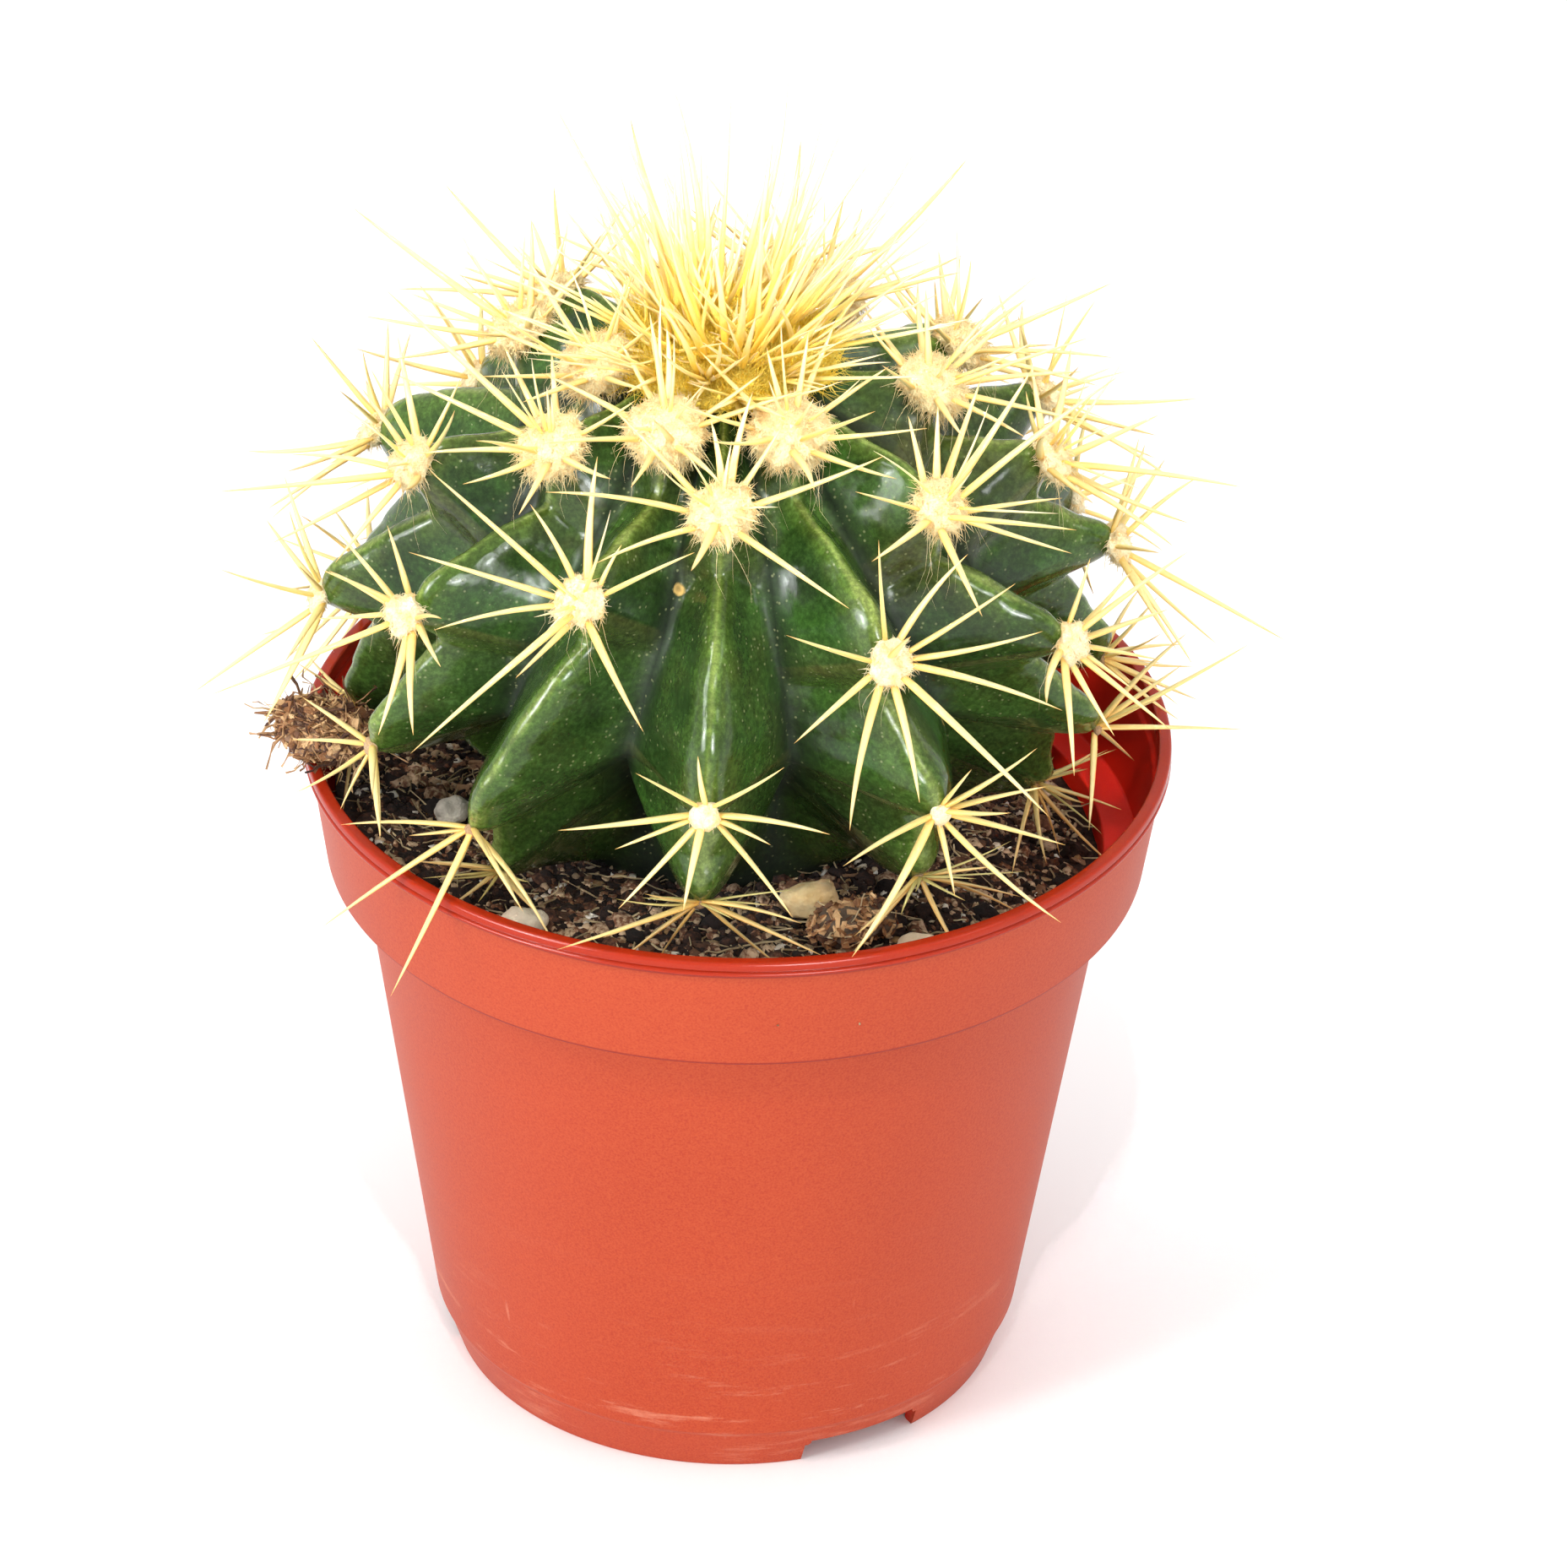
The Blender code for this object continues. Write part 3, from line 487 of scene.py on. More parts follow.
def barrelMesh(material):
    arc, radii, heights = barrelRows()
    rule = ribRule(arc, radii, heights)
    columns = stem["segments"]
    count = len(rule) * columns
    slopeR, slopeZ = np.gradient(radii, arc), np.gradient(heights, arc)
    points, normals = [], []
    labels = ("crestShare", "girth", "waist", "crestRound", "youth", "underPad", "onSkin")
    told = {label: [] for label in labels}
    for row, height in enumerate(heights):
        centre = axisAt(height)
        for number, rib in enumerate(rule):
            following = rule[(number + 1) % len(rule)]
            first, second = rib["course"][row], following["course"][row]
            if number + 1 == len(rule):
                second += math.tau
            for column in range(columns):
                share = column / columns
                side = rib if share < 0.5 else following
                out = outward(first + (second - first) * share)
                points.append(centre + out * radii[row])
                normals.append((out * -slopeZ[row] + upBy(slopeR[row])).normalized()[:])
                told["crestShare"].append(abs(2 * share - 1))
                told["girth"].append(radii[row])
                told["waist"].append(side["waist"][row])
                told["crestRound"].append(side["rounding"][row])
                told["youth"].append(1 - arc[row] / arc[-1])
                told["underPad"].append(math.exp(-side["below"][row] / stem["padShade"]))
                told["onSkin"].append(1.0)
    faces = []
    for row in range(len(arc) - 1):
        faces += ringFaces(row * count, (row + 1) * count, count)
    # the top closes in one point, and the neck goes down into the soil
    faces += fanFaces(len(points), 0, count)
    ring = (len(arc) - 1) * count
    rim = points[ring:]
    points.append(axisAt(stemHigh.z))
    neck = axisAt(stem["neckHeight"])
    foot = stemLow.z + stem["neckEnd"]
    for height in (stem["neckHeight"], foot):
        start = len(points)
        for spot in rim:
            level = spot - axisAt(stem["undersideHeight"])
            place = neck + Vector((level.x, level.y, 0)).normalized() * stem["neckRadius"]
            points.append(Vector((place.x, place.y, height)))
        faces += ringFaces(ring, start, count)
        ring = start
    faces += fanFaces(len(points), ring, count, True)
    points.append(Vector((neck.x, neck.y, foot)))
    mesh = meshFrom("stemBarrel", points, faces, material)
    spare = len(points) - len(normals)
    giveAttribute(mesh, "outwardNormal", normals + [(0, 0, 0)] * spare, "FLOAT_VECTOR")
    for name, values in told.items():
        giveAttribute(mesh, name, values + [0.0] * spare)
    return mesh


skin = {
    "specular": 0.32, "cloudScale": 75.0, "grainScale": 1300.0, "rustScale": 38.0, "freshScale": 52.0,
    "flank": ((0.32, (0.013, 0.031, 0.007)), (0.5, (0.026, 0.062, 0.012)), (0.7, (0.046, 0.103, 0.021))),
    "young": ((0.0, (0.07, 0.15, 0.02)), (0.5, (0.17, 0.28, 0.035)), (1.0, (0.26, 0.36, 0.05))),
    "rust": (0.040, 0.034, 0.010), "fresh": (0.040, 0.125, 0.016), "crest": (0.36, 0.40, 0.13),
    "underPad": (0.14, 0.13, 0.04), "furrow": (0.004, 0.009, 0.003),
    "poreScale": 1150.0, "poreRarity": 1.86, "pore": (0.34, 0.37, 0.17),
    "scarScale": 82.0, "scarRarity": 0.84, "scarRim": (0.62, 0.42, 0.13), "scarHeart": (0.28, 0.17, 0.05),
    "dimpleScale": 340.0, "dimple": 5.0,
}


def skinMaterial():
    material, shader, place = newMaterial("waxyGreenSkin", 0.3, skin["specular"])
    crest = attribute(place, "crestShare")
    cloud = noiseAt(place, skin["cloudScale"], 6.0, Roughness=0.6)
    grain = noiseAt(place, skin["grainScale"], 3.0, Roughness=0.7)
    # dark green flanks with brownish and fresher patches
    rust = ramp(noiseAt(place, skin["rustScale"], 4.0, Roughness=0.65), (0.5, 0.0), (0.66, 0.6))
    color = mix(rust, ramp(cloud, *skin["flank"]), skin["rust"])
    fresh = ramp(noiseAt(place, skin["freshScale"], 3.0, Distortion=0.6), (0.52, 0.0), (0.68, 0.55))
    color = mix(fresh, color, skin["fresh"])
    # a paler crest, the more so the younger the skin
    wobble = crest + (cloud - 0.5) * 0.4
    ridge = ramp(wobble, (0.66, 0.0), (0.88, 0.4), (1.0, 1.0))
    color = mix(ridge * 0.5, color, ramp(attribute(place, "youth"), *skin["young"]))
    color = mix(ramp(wobble, (0.93, 0.0), (0.985, 0.8)) * 0.3, color, skin["crest"])
    color = mix(attribute(place, "underPad") * 0.3, color, skin["underPad"])
    mottle = ramp(grain, (0.36, 0.66), (0.52, 1.0), (0.68, 1.5))
    color = mix(1.0, color, mottle, "MULTIPLY")
    # painted shade: the furrow mask draws the skin near black down in each furrow, where shade falls; the
    # same mask also guides the pores and the gloss
    furrow = ramp(crest, (0.0, 1.0), (0.14, 0.5), (0.3, 0.0))
    color = mix(furrow * 0.8, color, skin["furrow"])
    # pale breathing pores, thicker in some patches and along the furrows
    gap, chosen = cellsAt(place, skin["poreScale"])
    patch = noiseAt(place, 150.0, 3.0) + furrow * 0.12
    some = joined("GREATER_THAN", channel(chosen, 0) + patch * 2.2, skin["poreRarity"])
    dots = ramp(gap, (0.0, 1.0), (0.14, 0.8), (0.27, 0.0)) * some
    color = mix(dots * 0.5, color, skin["pore"])
    # corky scars with a darker heart
    gap, chosen = cellsAt(place, skin["scarScale"])
    edge = gap + grain * 0.05
    scar = ramp(edge, (0.0, 1.0), (0.085, 1.0), (0.105, 0.0))
    scar = scar * joined("GREATER_THAN", channel(chosen, 1), skin["scarRarity"])
    heart = ramp(edge, (0.035, 1.0), (0.07, 0.0))
    color = mix(scar, color, mix(heart, skin["scarRim"], skin["scarHeart"]))
    feed(shader, "Base Color", color)
    gloss = mix(furrow, ramp(cloud, (0.3, 0.12), (0.72, 0.22)), 0.8)
    feed(shader, "Roughness", mix(scar, gloss, 0.8))
    height = grain * 0.5 + dots * 0.5 + noiseAt(place, skin["dimpleScale"], 1.0) * skin["dimple"]
    bump(shader, height, 0.3, 0.0001)
    return material


def foldedSkin(material):
    keys = ("furrowShare", "footFurrowShare", "girthHeight", "footHeight", "waistSpread", "ridgeShare",
            "ridgeWidth", "ripple", "rippleScale", "crease", "creaseScale")
    tree, entry = newGrower("ribFolds", {key: stem[key] for key in keys})
    # straight flanks that meet in a rounded crest
    crest, rounding, girth = named(tree, "crestShare"), named(tree, "crestRound"), named(tree, "girth")
    depth = 1.0 - crest
    square = rounding * rounding
    slope = joined("SQRT", depth * depth + square)
    valley = (slope - rounding) / (joined("SQRT", square + 1.0) - rounding)
    # the crest stands out of the flanks as a narrow nose
    across = joined("POWER", depth / entry["ridgeWidth"], 2.0)
    nose = 1.0 - joined("EXPONENT", across * -1.0)
    valley = valley * (1.0 - entry["ridgeShare"]) + nose * entry["ridgeShare"]
    # furrows are deeper at the foot of the stem, and waists flatter near the crown
    place = position(tree)
    foot = {"Value": axis(place, 2), "From Min": entry["girthHeight"], "From Max": entry["footHeight"],
            "To Min": entry["furrowShare"], "To Max": entry["footFurrowShare"]}
    furrow = valley * wire(tree, "ShaderNodeMapRange", foot, interpolation_type="SMOOTHSTEP") * girth
    top = {"Value": girth, "From Min": 0.0, "From Max": 0.03, "To Min": 0.1, "To Max": 1.0}
    waist = named(tree, "waist") * joined("POWER", crest, entry["waistSpread"])
    waist = waist * wire(tree, "ShaderNodeMapRange", top)
    # slow ripples, and fine creases that are stronger below each pad
    wave = (noiseAt(place, entry["rippleScale"]) - 0.5) * (entry["ripple"] * 2.0)
    crease = (noiseAt(place, entry["creaseScale"], 1.0) - 0.5) * (entry["crease"] * 2.0)
    crease = crease * (named(tree, "underPad") * 2.5 + 1.0)
    inward = (wave + crease - (furrow + waist)) * named(tree, "onSkin")
    offset = scaled(named(tree, "outwardNormal", "FLOAT_VECTOR"), inward)
    folded = moveBy(entry["Geometry"], offset)
    return growMesh("stemSkin", barrelMesh(material), folded, material)


skinMesh = foldedSkin(skinMaterial())
newPiece("stemSkin", skinMesh, "green_skin", "cactus_stem")


# pot: a turned profile with the foot's notches and the drain holes

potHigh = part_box("pot")[1]
pot = {
    "rim": potHigh.x, "height": potHigh.z, "steps": 192, "wall": 0.0013, "rounding": 0.00035,
    "lipDepth": 0.0021, "lipProud": 0.0005, "collarFoot": 0.0568, "collarHeight": 0.0792,
    "lipBead": ((0.0, 0.0009, 0.0003), (0.0004, 0.0007, 0.0001), (0.0, 0.0004, 0.0003), (0.0, 0.0, 0.0002)),
    "bodyTop": 0.0522, "footTop": 0.0414, "footHeight": 0.0069, "footRadius": 0.0387, "footWidth": 0.0018,
    "floorUnder": 0.0054, "notches": 3, "notchFirst": 30.0, "notchWidth": 0.018, "notchHeight": 0.004,
    "notchDepth": 0.012, "notchRound": 0.0008,
    "drains": 6, "drainRadius": 0.004, "drainRing": 0.024, "drainFirst": 11.0, "drainDepth": 0.005,
    "sharpAngle": 38, "liningEdge": 0.0004, "ledgeEdge": 0.002,
}


def roundCorners(corners, steps=4):
    # every inner corner of an open profile becomes a short arc; a third number is its own radius
    profile = [Vector(corners[0])]
    for before, corner, after in zip(corners, corners[1:], corners[2:]):
        wanted = corner[2] if len(corner) > 2 else pot["rounding"]
        before, corner, after = Vector(before[:2]), Vector(corner[:2]), Vector(after[:2])
        back, ahead = before - corner, after - corner
        reach = min(wanted, 0.48 * back.length, 0.48 * ahead.length)
        start, end = corner + back.normalized() * reach, corner + ahead.normalized() * reach
        for step in range(steps + 1):
            share = step / steps
            profile.append(start.lerp(corner, share).lerp(corner.lerp(end, share), share))
    profile.append(Vector(corners[-1]))
    return profile


def potProfile():
    # from the middle of the floor up the inside, over the lip, down the outside and back below
    p, wall = pot, pot["wall"]
    rim, top, foot, collar = p["rim"], p["height"], p["footRadius"], p["collarHeight"]
    floorTop, ledge, lipFoot = p["floorUnder"] + wall, collar + wall, top - p["lipDepth"]
    innerRim = rim - p["lipProud"] - wall
    slope = (p["bodyTop"] - p["footTop"]) / (collar - p["footHeight"])
    collarSlope = (rim - p["lipProud"] - p["collarFoot"]) / (top - collar)

    def wallAt(z):
        return p["footTop"] + (z - p["footHeight"]) * slope

    def collarAt(z):
        return p["collarFoot"] + (z - collar) * collarSlope

    return [
        (0.0, floorTop), (wallAt(floorTop) - wall, floorTop), (wallAt(ledge) - wall, ledge),
        (collarAt(ledge) - wall, ledge + 0.0002), (collarAt(lipFoot - 0.003) - wall, lipFoot - 0.003),
        (innerRim - 0.0001, lipFoot - 0.0022), (innerRim, top), (rim - 0.0001, top, 0.0005),
        *[(rim - back, lipFoot + rise, rounding) for back, rise, rounding in p["lipBead"]],
        (collarAt(lipFoot - 0.0003), lipFoot - 0.0003), (p["collarFoot"], collar, 0.0006),
        (p["bodyTop"], collar - 0.0002), (p["footTop"] + 0.0001, p["footHeight"] + 0.0004),
        (p["footTop"] - 0.0004, p["footHeight"] - 0.0002), (foot, 0.0), (foot - p["footWidth"], 0.0),
        (foot - p["footWidth"] + 0.0007, p["floorUnder"]), (0.0, p["floorUnder"]),
    ]


def turnProfile(name, profile):
    bm = bmesh.new()
    chain = [bm.verts.new((x, 0.0, z)) for x, z in profile]
    edges = [bm.edges.new(pair) for pair in zip(chain, chain[1:])]
    bmesh.ops.spin(bm, geom=chain + edges, axis=(0, 0, 1), cent=(0, 0, 0), angle=math.tau, steps=pot["steps"])
    bmesh.ops.remove_doubles(bm, verts=bm.verts[:], dist=0.000004)
    bmesh.ops.recalc_face_normals(bm, faces=bm.faces[:])
    return meshOf(name, bm)


def notchCutter(angle):
    bm = bmesh.new()
    bmesh.ops.create_cube(bm, size=1.0)
    size = (pot["notchWidth"], pot["notchDepth"], 2 * pot["notchHeight"])
    bmesh.ops.scale(bm, vec=size, verts=bm.verts[:])
    alongDepth = [e for e in bm.edges if abs(e.verts[0].co.y - e.verts[1].co.y) > 0.001]
    bmesh.ops.bevel(bm, geom=alongDepth, offset=pot["notchRound"], segments=3, affect="EDGES")
    turn = Matrix.Translation(outward(angle) * pot["footRadius"]) @ Matrix.Rotation(angle, 4, "Z")
    bmesh.ops.transform(bm, matrix=turn, verts=bm.verts[:])
    return bm


def drainCutter(angle):
    bm = bmesh.new()
    radius = pot["drainRadius"]
    depth = pot["drainDepth"]
    bmesh.ops.create_cone(bm, segments=28, radius1=radius, radius2=radius, depth=depth, cap_ends=True)
    spot = outward(angle) * pot["drainRing"] + upBy(pot["floorUnder"])
    bmesh.ops.translate(bm, vec=spot, verts=bm.verts[:])
    return bm


def potCutters():
    notchTurns = [pot["notchFirst"] + 360 / pot["notches"] * number for number in range(pot["notches"])]
    drainTurns = [pot["drainFirst"] + 360 / pot["drains"] * number for number in range(pot["drains"])]
    notches = [notchCutter(math.radians(turn)) for turn in notchTurns]
    return notches + [drainCutter(math.radians(turn)) for turn in drainTurns]


def cutOut(mesh, cutters):
    whole = placed("potBlank", mesh)
    made = []
    for number, bm in enumerate(cutters):
        cutter = placed(f"potCut{number}", meshOf(f"potCut{number}", bm))
        cut = whole.modifiers.new(cutter.name, "BOOLEAN")
        cut.operation, cut.solver, cut.object = "DIFFERENCE", "EXACT", cutter
        made.append(cutter)
    result = applied(whole)
    for extra in [whole] + made:
        bpy.data.objects.remove(extra, do_unlink=True)
    return result


plastic = {
    "specular": 0.24, "base": ((0.3, (0.37, 0.034, 0.008)), (0.7, (0.415, 0.043, 0.011))),
    "speck": (0.53, 0.095, 0.027), "darkSpeck": (0.33, 0.03, 0.012), "lip": (0.34, 0.016, 0.003),
    "liningLight": (0.72, 0.008, 0.003), "overhangShade": (0.25, 0.014, 0.006), "rubbed": (0.84, 0.42, 0.27),
    "grainScale": 3300.0, "cloudScale": 22.0, "lipStart": (0.9735, 0.9775), "bandScale": 20.0,
    "rubScale": (60.0, 60.0, 420.0), "scratchScale": (330.0, 330.0, 26.0),
}


def potMaterial():
    material, shader, place = newMaterial("terracottaPlastic", 0.45, plastic["specular"])
    grain = noiseAt(place, plastic["grainScale"])
    cloud = noiseAt(place, plastic["cloudScale"], 4.0)
    speck = ramp(grain, (0.35, 0.0), (0.65, 1.0))
    color = mix(speck * 0.4, ramp(cloud, *plastic["base"]), plastic["speck"])
    dark = ramp(grain, (0.3, 1.0), (0.42, 0.0))
    color = mix(dark * 0.35, color, plastic["darkSpeck"])
    height = axis(place, 2)
    start, end = plastic["lipStart"]
    lip = ramp(height / pot["height"], (start, 0.0), (end, 1.0))
    color = mix(lip * 0.85, color, plastic["lip"])
    # painted light: the inside of the pot is drawn a deeper, brighter red, for light passing through the
    # plastic and bouncing inside it; painted shade gathers under the lip and the collar
    liningLight = attribute(place, "liningLight")
    color = mix(liningLight * 0.85, color, plastic["liningLight"])
    # painted shade: a thin dark line is drawn just under the lip and just under the collar, where their
    # overhang shades the wall
    collarGap = joined("ABSOLUTE", height - (pot["collarHeight"] + 0.0001))
    lipGap = joined("ABSOLUTE", height - (pot["height"] - pot["lipDepth"] - 0.0003))
    nearest = joined("MINIMUM", collarGap, lipGap) * 1000.0
    overhangShade = ramp(nearest, (0.34, 0.85), (0.55, 0.0)) * (1.0 - liningLight)
    color = mix(overhangShade, color, plastic["overhangShade"])
    # pale rubbed scuffs low on the wall, and a few thin scratches above them
    band = height * plastic["bandScale"]
    rub = noiseAt(stretched(place, plastic["rubScale"], (0.0, 0.08, 0.0)), 1.0, 6.0, Roughness=0.7)
    rub = ramp(rub, (0.56, 0.0), (0.72, 1.0))
    scuff = rub * ramp(band, (0.05, 0.6), (0.24, 1.0), (0.5, 0.1), (0.9, 0.0)) * 0.4
    scratch = noiseAt(stretched(place, plastic["scratchScale"]), 1.0)
    scratch = ramp(scratch, (0.74, 0.0), (0.78, 1.0)) * 0.22 * ramp(band, (0.7, 1.0), (1.0, 0.0))
    color = mix(joined("MAXIMUM", scuff, scratch), color, plastic["rubbed"])
    feed(shader, "Base Color", color)
    rough = mix(lip, ramp(cloud, (0.25, 0.44), (0.8, 0.54)), 0.17)
    feed(shader, "Roughness", mix(scuff, rough, 0.75))
    bump(shader, grain + scuff * 0.6, 0.15, 0.00008)
    return material


def liningShare(vert):
    # inner faces below the lip, and the ledge and floor that face up
    place, normal = vert.co, vert.normal
    turned = normal.x * place.x + normal.y * place.y < -0.3 * math.hypot(place.x, place.y)
    facesIn = turned and place.z < pot["height"] - pot["liningEdge"]
    facesUp = normal.z > 0.3 and place.z < pot["height"] - pot["ledgeEdge"]
    return 1.0 if facesIn or facesUp else 0.0


potMesh = cutOut(turnProfile("potBlank", roundCorners(potProfile())), potCutters())
potMesh.name = "terracottaPot"
potMesh.materials.clear()
potMesh.materials.append(potMaterial())
smooth(potMesh)
potMesh.set_sharp_from_angle(angle=math.radians(pot["sharpAngle"]))
giveAttribute(potMesh, "liningLight", [liningShare(vert) for vert in potMesh.vertices])
newPiece("terracottaPot", potMesh, "terracotta_plastic", "pot")


# soil: an uneven bed, with crumbs, bark, grit and fibres strewn on it by Geometry Nodes

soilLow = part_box("soil")[0]
soil = {
    "front": 0.088, "back": 0.081, "rightDrop": 0.005, "leftMound": 0.006, "neckHeight": 0.085,
    "blend": 0.012, "rings": 34, "spokes": 180, "lump": 0.0011, "lumpScale": 260.0, "sunkSide": 0.003,
    "gap": 0.0002, "ledge": 0.0808, "belowLedge": 0.0785, "aboveLedge": 0.081, "wallLevels": (0.0809, 0.0792),
    "floorGap": 0.0003, "wallStep": 0.0003, "plugDepth": 0.001, "strewnShare": 0.93, "shade": 0.35,
    "crumbDensity": 900000.0, "crumbSize": 0.0007, "clodDensity": 50000.0, "clodSize": 0.0015,
    "barkDensity": 30000.0, "barkSize": 0.00095, "gritDensity": 110000.0, "gritSize": 0.00055,
    "fibreDensity": 170000.0, "fibreSize": 0.0048, "fibreWidth": 0.00014,
}


def innerRadius(height):
    p, collar = pot, pot["collarHeight"]
    if height > collar + p["wall"]:
        share = (height - collar) / (p["height"] - collar)
        return p["collarFoot"] + share * (p["rim"] - p["lipProud"] - p["collarFoot"]) - p["wall"]
    share = (height - p["footHeight"]) / (collar - p["footHeight"])
    return p["footTop"] + share * (p["bodyTop"] - p["footTop"]) - p["wall"]


def soilHeight(x, y):
    reach = innerRadius(soil["front"])
    height = soil["back"] + (soil["front"] - soil["back"]) * (0.5 - 0.5 * y / reach)
    height -= soil["rightDrop"] * max(0.0, x / reach) ** 2
    height += soil["leftMound"] * max(0.0, -x / reach) ** 3
    height -= soil["sunkSide"] * float(smoothStep((x - 0.03) / 0.016)) * float(smoothStep((y + 0.034) / 0.03))
    away = math.hypot(x - stem["axisX"], y) - stem["neckRadius"]
    share = min(1.0, max(0.0, away / soil["blend"]))
    height = soil["neckHeight"] + (height - soil["neckHeight"]) * share
    spot = Vector((x, y, 0.3)) * soil["lumpScale"]
    rough = noise.noise(spot * 0.35) * 0.8 + noise.noise(spot) * 0.55 + noise.noise(spot * 2.7) * 0.3
    return height + soil["lump"] * rough * share


def soilBedMesh(material):
    neck, spokes, rings = axisAt(stem["neckHeight"]), soil["spokes"], soil["rings"]
    outs = [outward(spoke * math.tau / spokes) for spoke in range(spokes)]
    # the bed ends on the pot's inner ledge, or below it where the soil has sunk
    rims = []
    for out in outs:
        inner = innerRadius(soil["belowLedge"]) - soil["gap"]
        sunk = soilHeight(out.x * inner, out.y * inner) < soil["ledge"]
        rims.append(inner if sunk else innerRadius(soil["aboveLedge"]) - soil["gap"])
    points, top = [], []
    for ring in range(rings):
        share = ring / (rings - 1)
        for out, rim in zip(outs, rims):
            spot = (neck + out * (stem["neckRadius"] + soil["gap"])).lerp(out * rim, share)
            points.append((spot.x, spot.y, soilHeight(spot.x, spot.y)))
            top.append(1.0 if share < soil["strewnShare"] else 0.0)
    bottom = soilLow.z + soil["floorGap"]
    edges = [point[2] for point in points[-spokes:]]
    for number, value in enumerate((*soil["wallLevels"], bottom), 1):
        for out, rim, edge in zip(outs, rims, edges):
            radius = min(innerRadius(value) - soil["gap"], rim)
            points.append((out.x * radius, out.y * radius, min(value, edge - soil["wallStep"] * number)))
            top.append(0.0)
    faces = []
    for start in range(0, len(points) - spokes, spokes):
        faces += ringFaces(start, start + spokes, spokes)
    faces += fanFaces(len(points), len(points) - spokes, spokes, True)
    faces += fanFaces(len(points) + 1, 0, spokes)
    points += [(0.0, 0.0, bottom), (neck.x, neck.y, soil["neckHeight"] - soil["plugDepth"])]
    mesh = meshFrom("soilBed", points, faces, material)
    giveAttribute(mesh, "topSide", top + [0.0, 0.0])
    bm = bmesh.new()
    bm.from_mesh(mesh)
    bmesh.ops.recalc_face_normals(bm, faces=bm.faces[:])
    bm.to_mesh(mesh)
    bm.free()
    return mesh


# the colours of soil, bark, grit, fibres and stones, from their dark to their light places
earths = {
    "dampPottingSoil": (
        (0.2, (0.006, 0.0028, 0.0018)), (0.42, (0.021, 0.0085, 0.005)), (0.54, (0.066, 0.025, 0.013)),
        (0.65, (0.21, 0.088, 0.042)), (0.74, (0.60, 0.43, 0.27))),
    "barkFlakes": ((0.2, (0.04, 0.016, 0.008)), (0.5, (0.17, 0.075, 0.035)), (0.85, (0.5, 0.3, 0.16))),
    "goldenBarkFlakes": ((0.25, (0.08, 0.028, 0.012)), (0.45, (0.32, 0.14, 0.05)), (0.8, (0.78, 0.52, 0.26))),
    "paleGrit": ((0.25, (0.35, 0.2, 0.08)), (0.45, (0.62, 0.5, 0.34)), (0.75, (0.9, 0.86, 0.78))),
    "dryFibres": ((0.2, (0.22, 0.14, 0.06)), (0.8, (0.72, 0.58, 0.34))),
    "tanStone": ((0.35, (0.80, 0.50, 0.18)), (0.65, (0.98, 0.84, 0.50))),
    "paleStone": ((0.2, (0.5, 0.4, 0.28)), (0.8, (0.85, 0.76, 0.6))),
    "paleStoneWarm": ((0.2, (0.45, 0.33, 0.2)), (0.8, (0.8, 0.68, 0.5))),
    "paleStoneCool": ((0.2, (0.55, 0.5, 0.4)), (0.8, (0.9, 0.85, 0.75))),
    "darkBark": ((0.2, (0.02, 0.012, 0.008)), (0.8, (0.2, 0.13, 0.08))),
    "brownBark": ((0.2, (0.07, 0.03, 0.015)), (0.8, (0.42, 0.24, 0.13))),
}


def earthMaterial(name, roughness=0.95, fineScale=1400.0, mottleScale=420.0):
    material, shader, place = newMaterial(name, roughness)
    blend = noiseAt(place, mottleScale, 5.0) * 0.45 + attribute(place, "shade") * 0.55
    feed(shader, "Base Color", ramp(blend, *earths[name]))
    bump(shader, noiseAt(place, fineScale, 4.0), 0.6, 0.0004)
    return material


earth = earthMaterial("dampPottingSoil", mottleScale=1500.0)
barkBrown = earthMaterial("barkFlakes")
barkGold = earthMaterial("goldenBarkFlakes")
gritPale = earthMaterial("paleGrit", 0.8)
rootStraw = earthMaterial("dryFibres", 0.8)


def strew(name, base, shape, material, sizes, density, bitSize, start):
    # strews one small shape over the top side of a mesh
    tree, entry = newGrower(name, {"Density": density, "Size": bitSize, "Seed": start})
    size, seed = entry["Size"], entry["Seed"]
    compare = {0: named(tree, "topSide"), 1: 0.5}
    chosen = wire(tree, "FunctionNodeCompare", compare, data_type="FLOAT", operation="GREATER_THAN")
    points, rotation = scatter(entry, entry["Density"], Selection=chosen)
    turn = chance(sizes["turnLow"], sizes["turnHigh"], seed)
    grow = chance(sizes["growLow"], sizes["growHigh"], seed)
    bits = standOn(points, shape(size), rotation, turn, grow)
    bits = storeOn(bits, "shade", chance(0.0, 1.0, seed), "INSTANCE")
    crumple = scaled(centredNoise(position(tree), sizes["crumpleScale"]), size * sizes["crumple"])
    return growMesh(name, base, moveBy(realized(bits), crumple), material)


def crumbShape(size):
    return wire(size.tree, "GeometryNodeMeshIcoSphere", {"Radius": size, "Subdivisions": 1})


def clodShape(size):
    return wire(size.tree, "GeometryNodeMeshIcoSphere", {"Radius": size, "Subdivisions": 2})


def flakeShape(size):
    sides = {"Size": scaled((3.2, 1.5, 0.5), size), "Vertices X": 3, "Vertices Y": 2, "Vertices Z": 2}
    return wire(size.tree, "GeometryNodeMeshCube", sides)


def fibreShape(size):
    line = straightLine(size.tree, (0, 0, 0), wire(size.tree, "ShaderNodeCombineXYZ", {0: size}), 5)
    return swept(line, ringCurve(size.tree, 3, soil["fibreWidth"]))


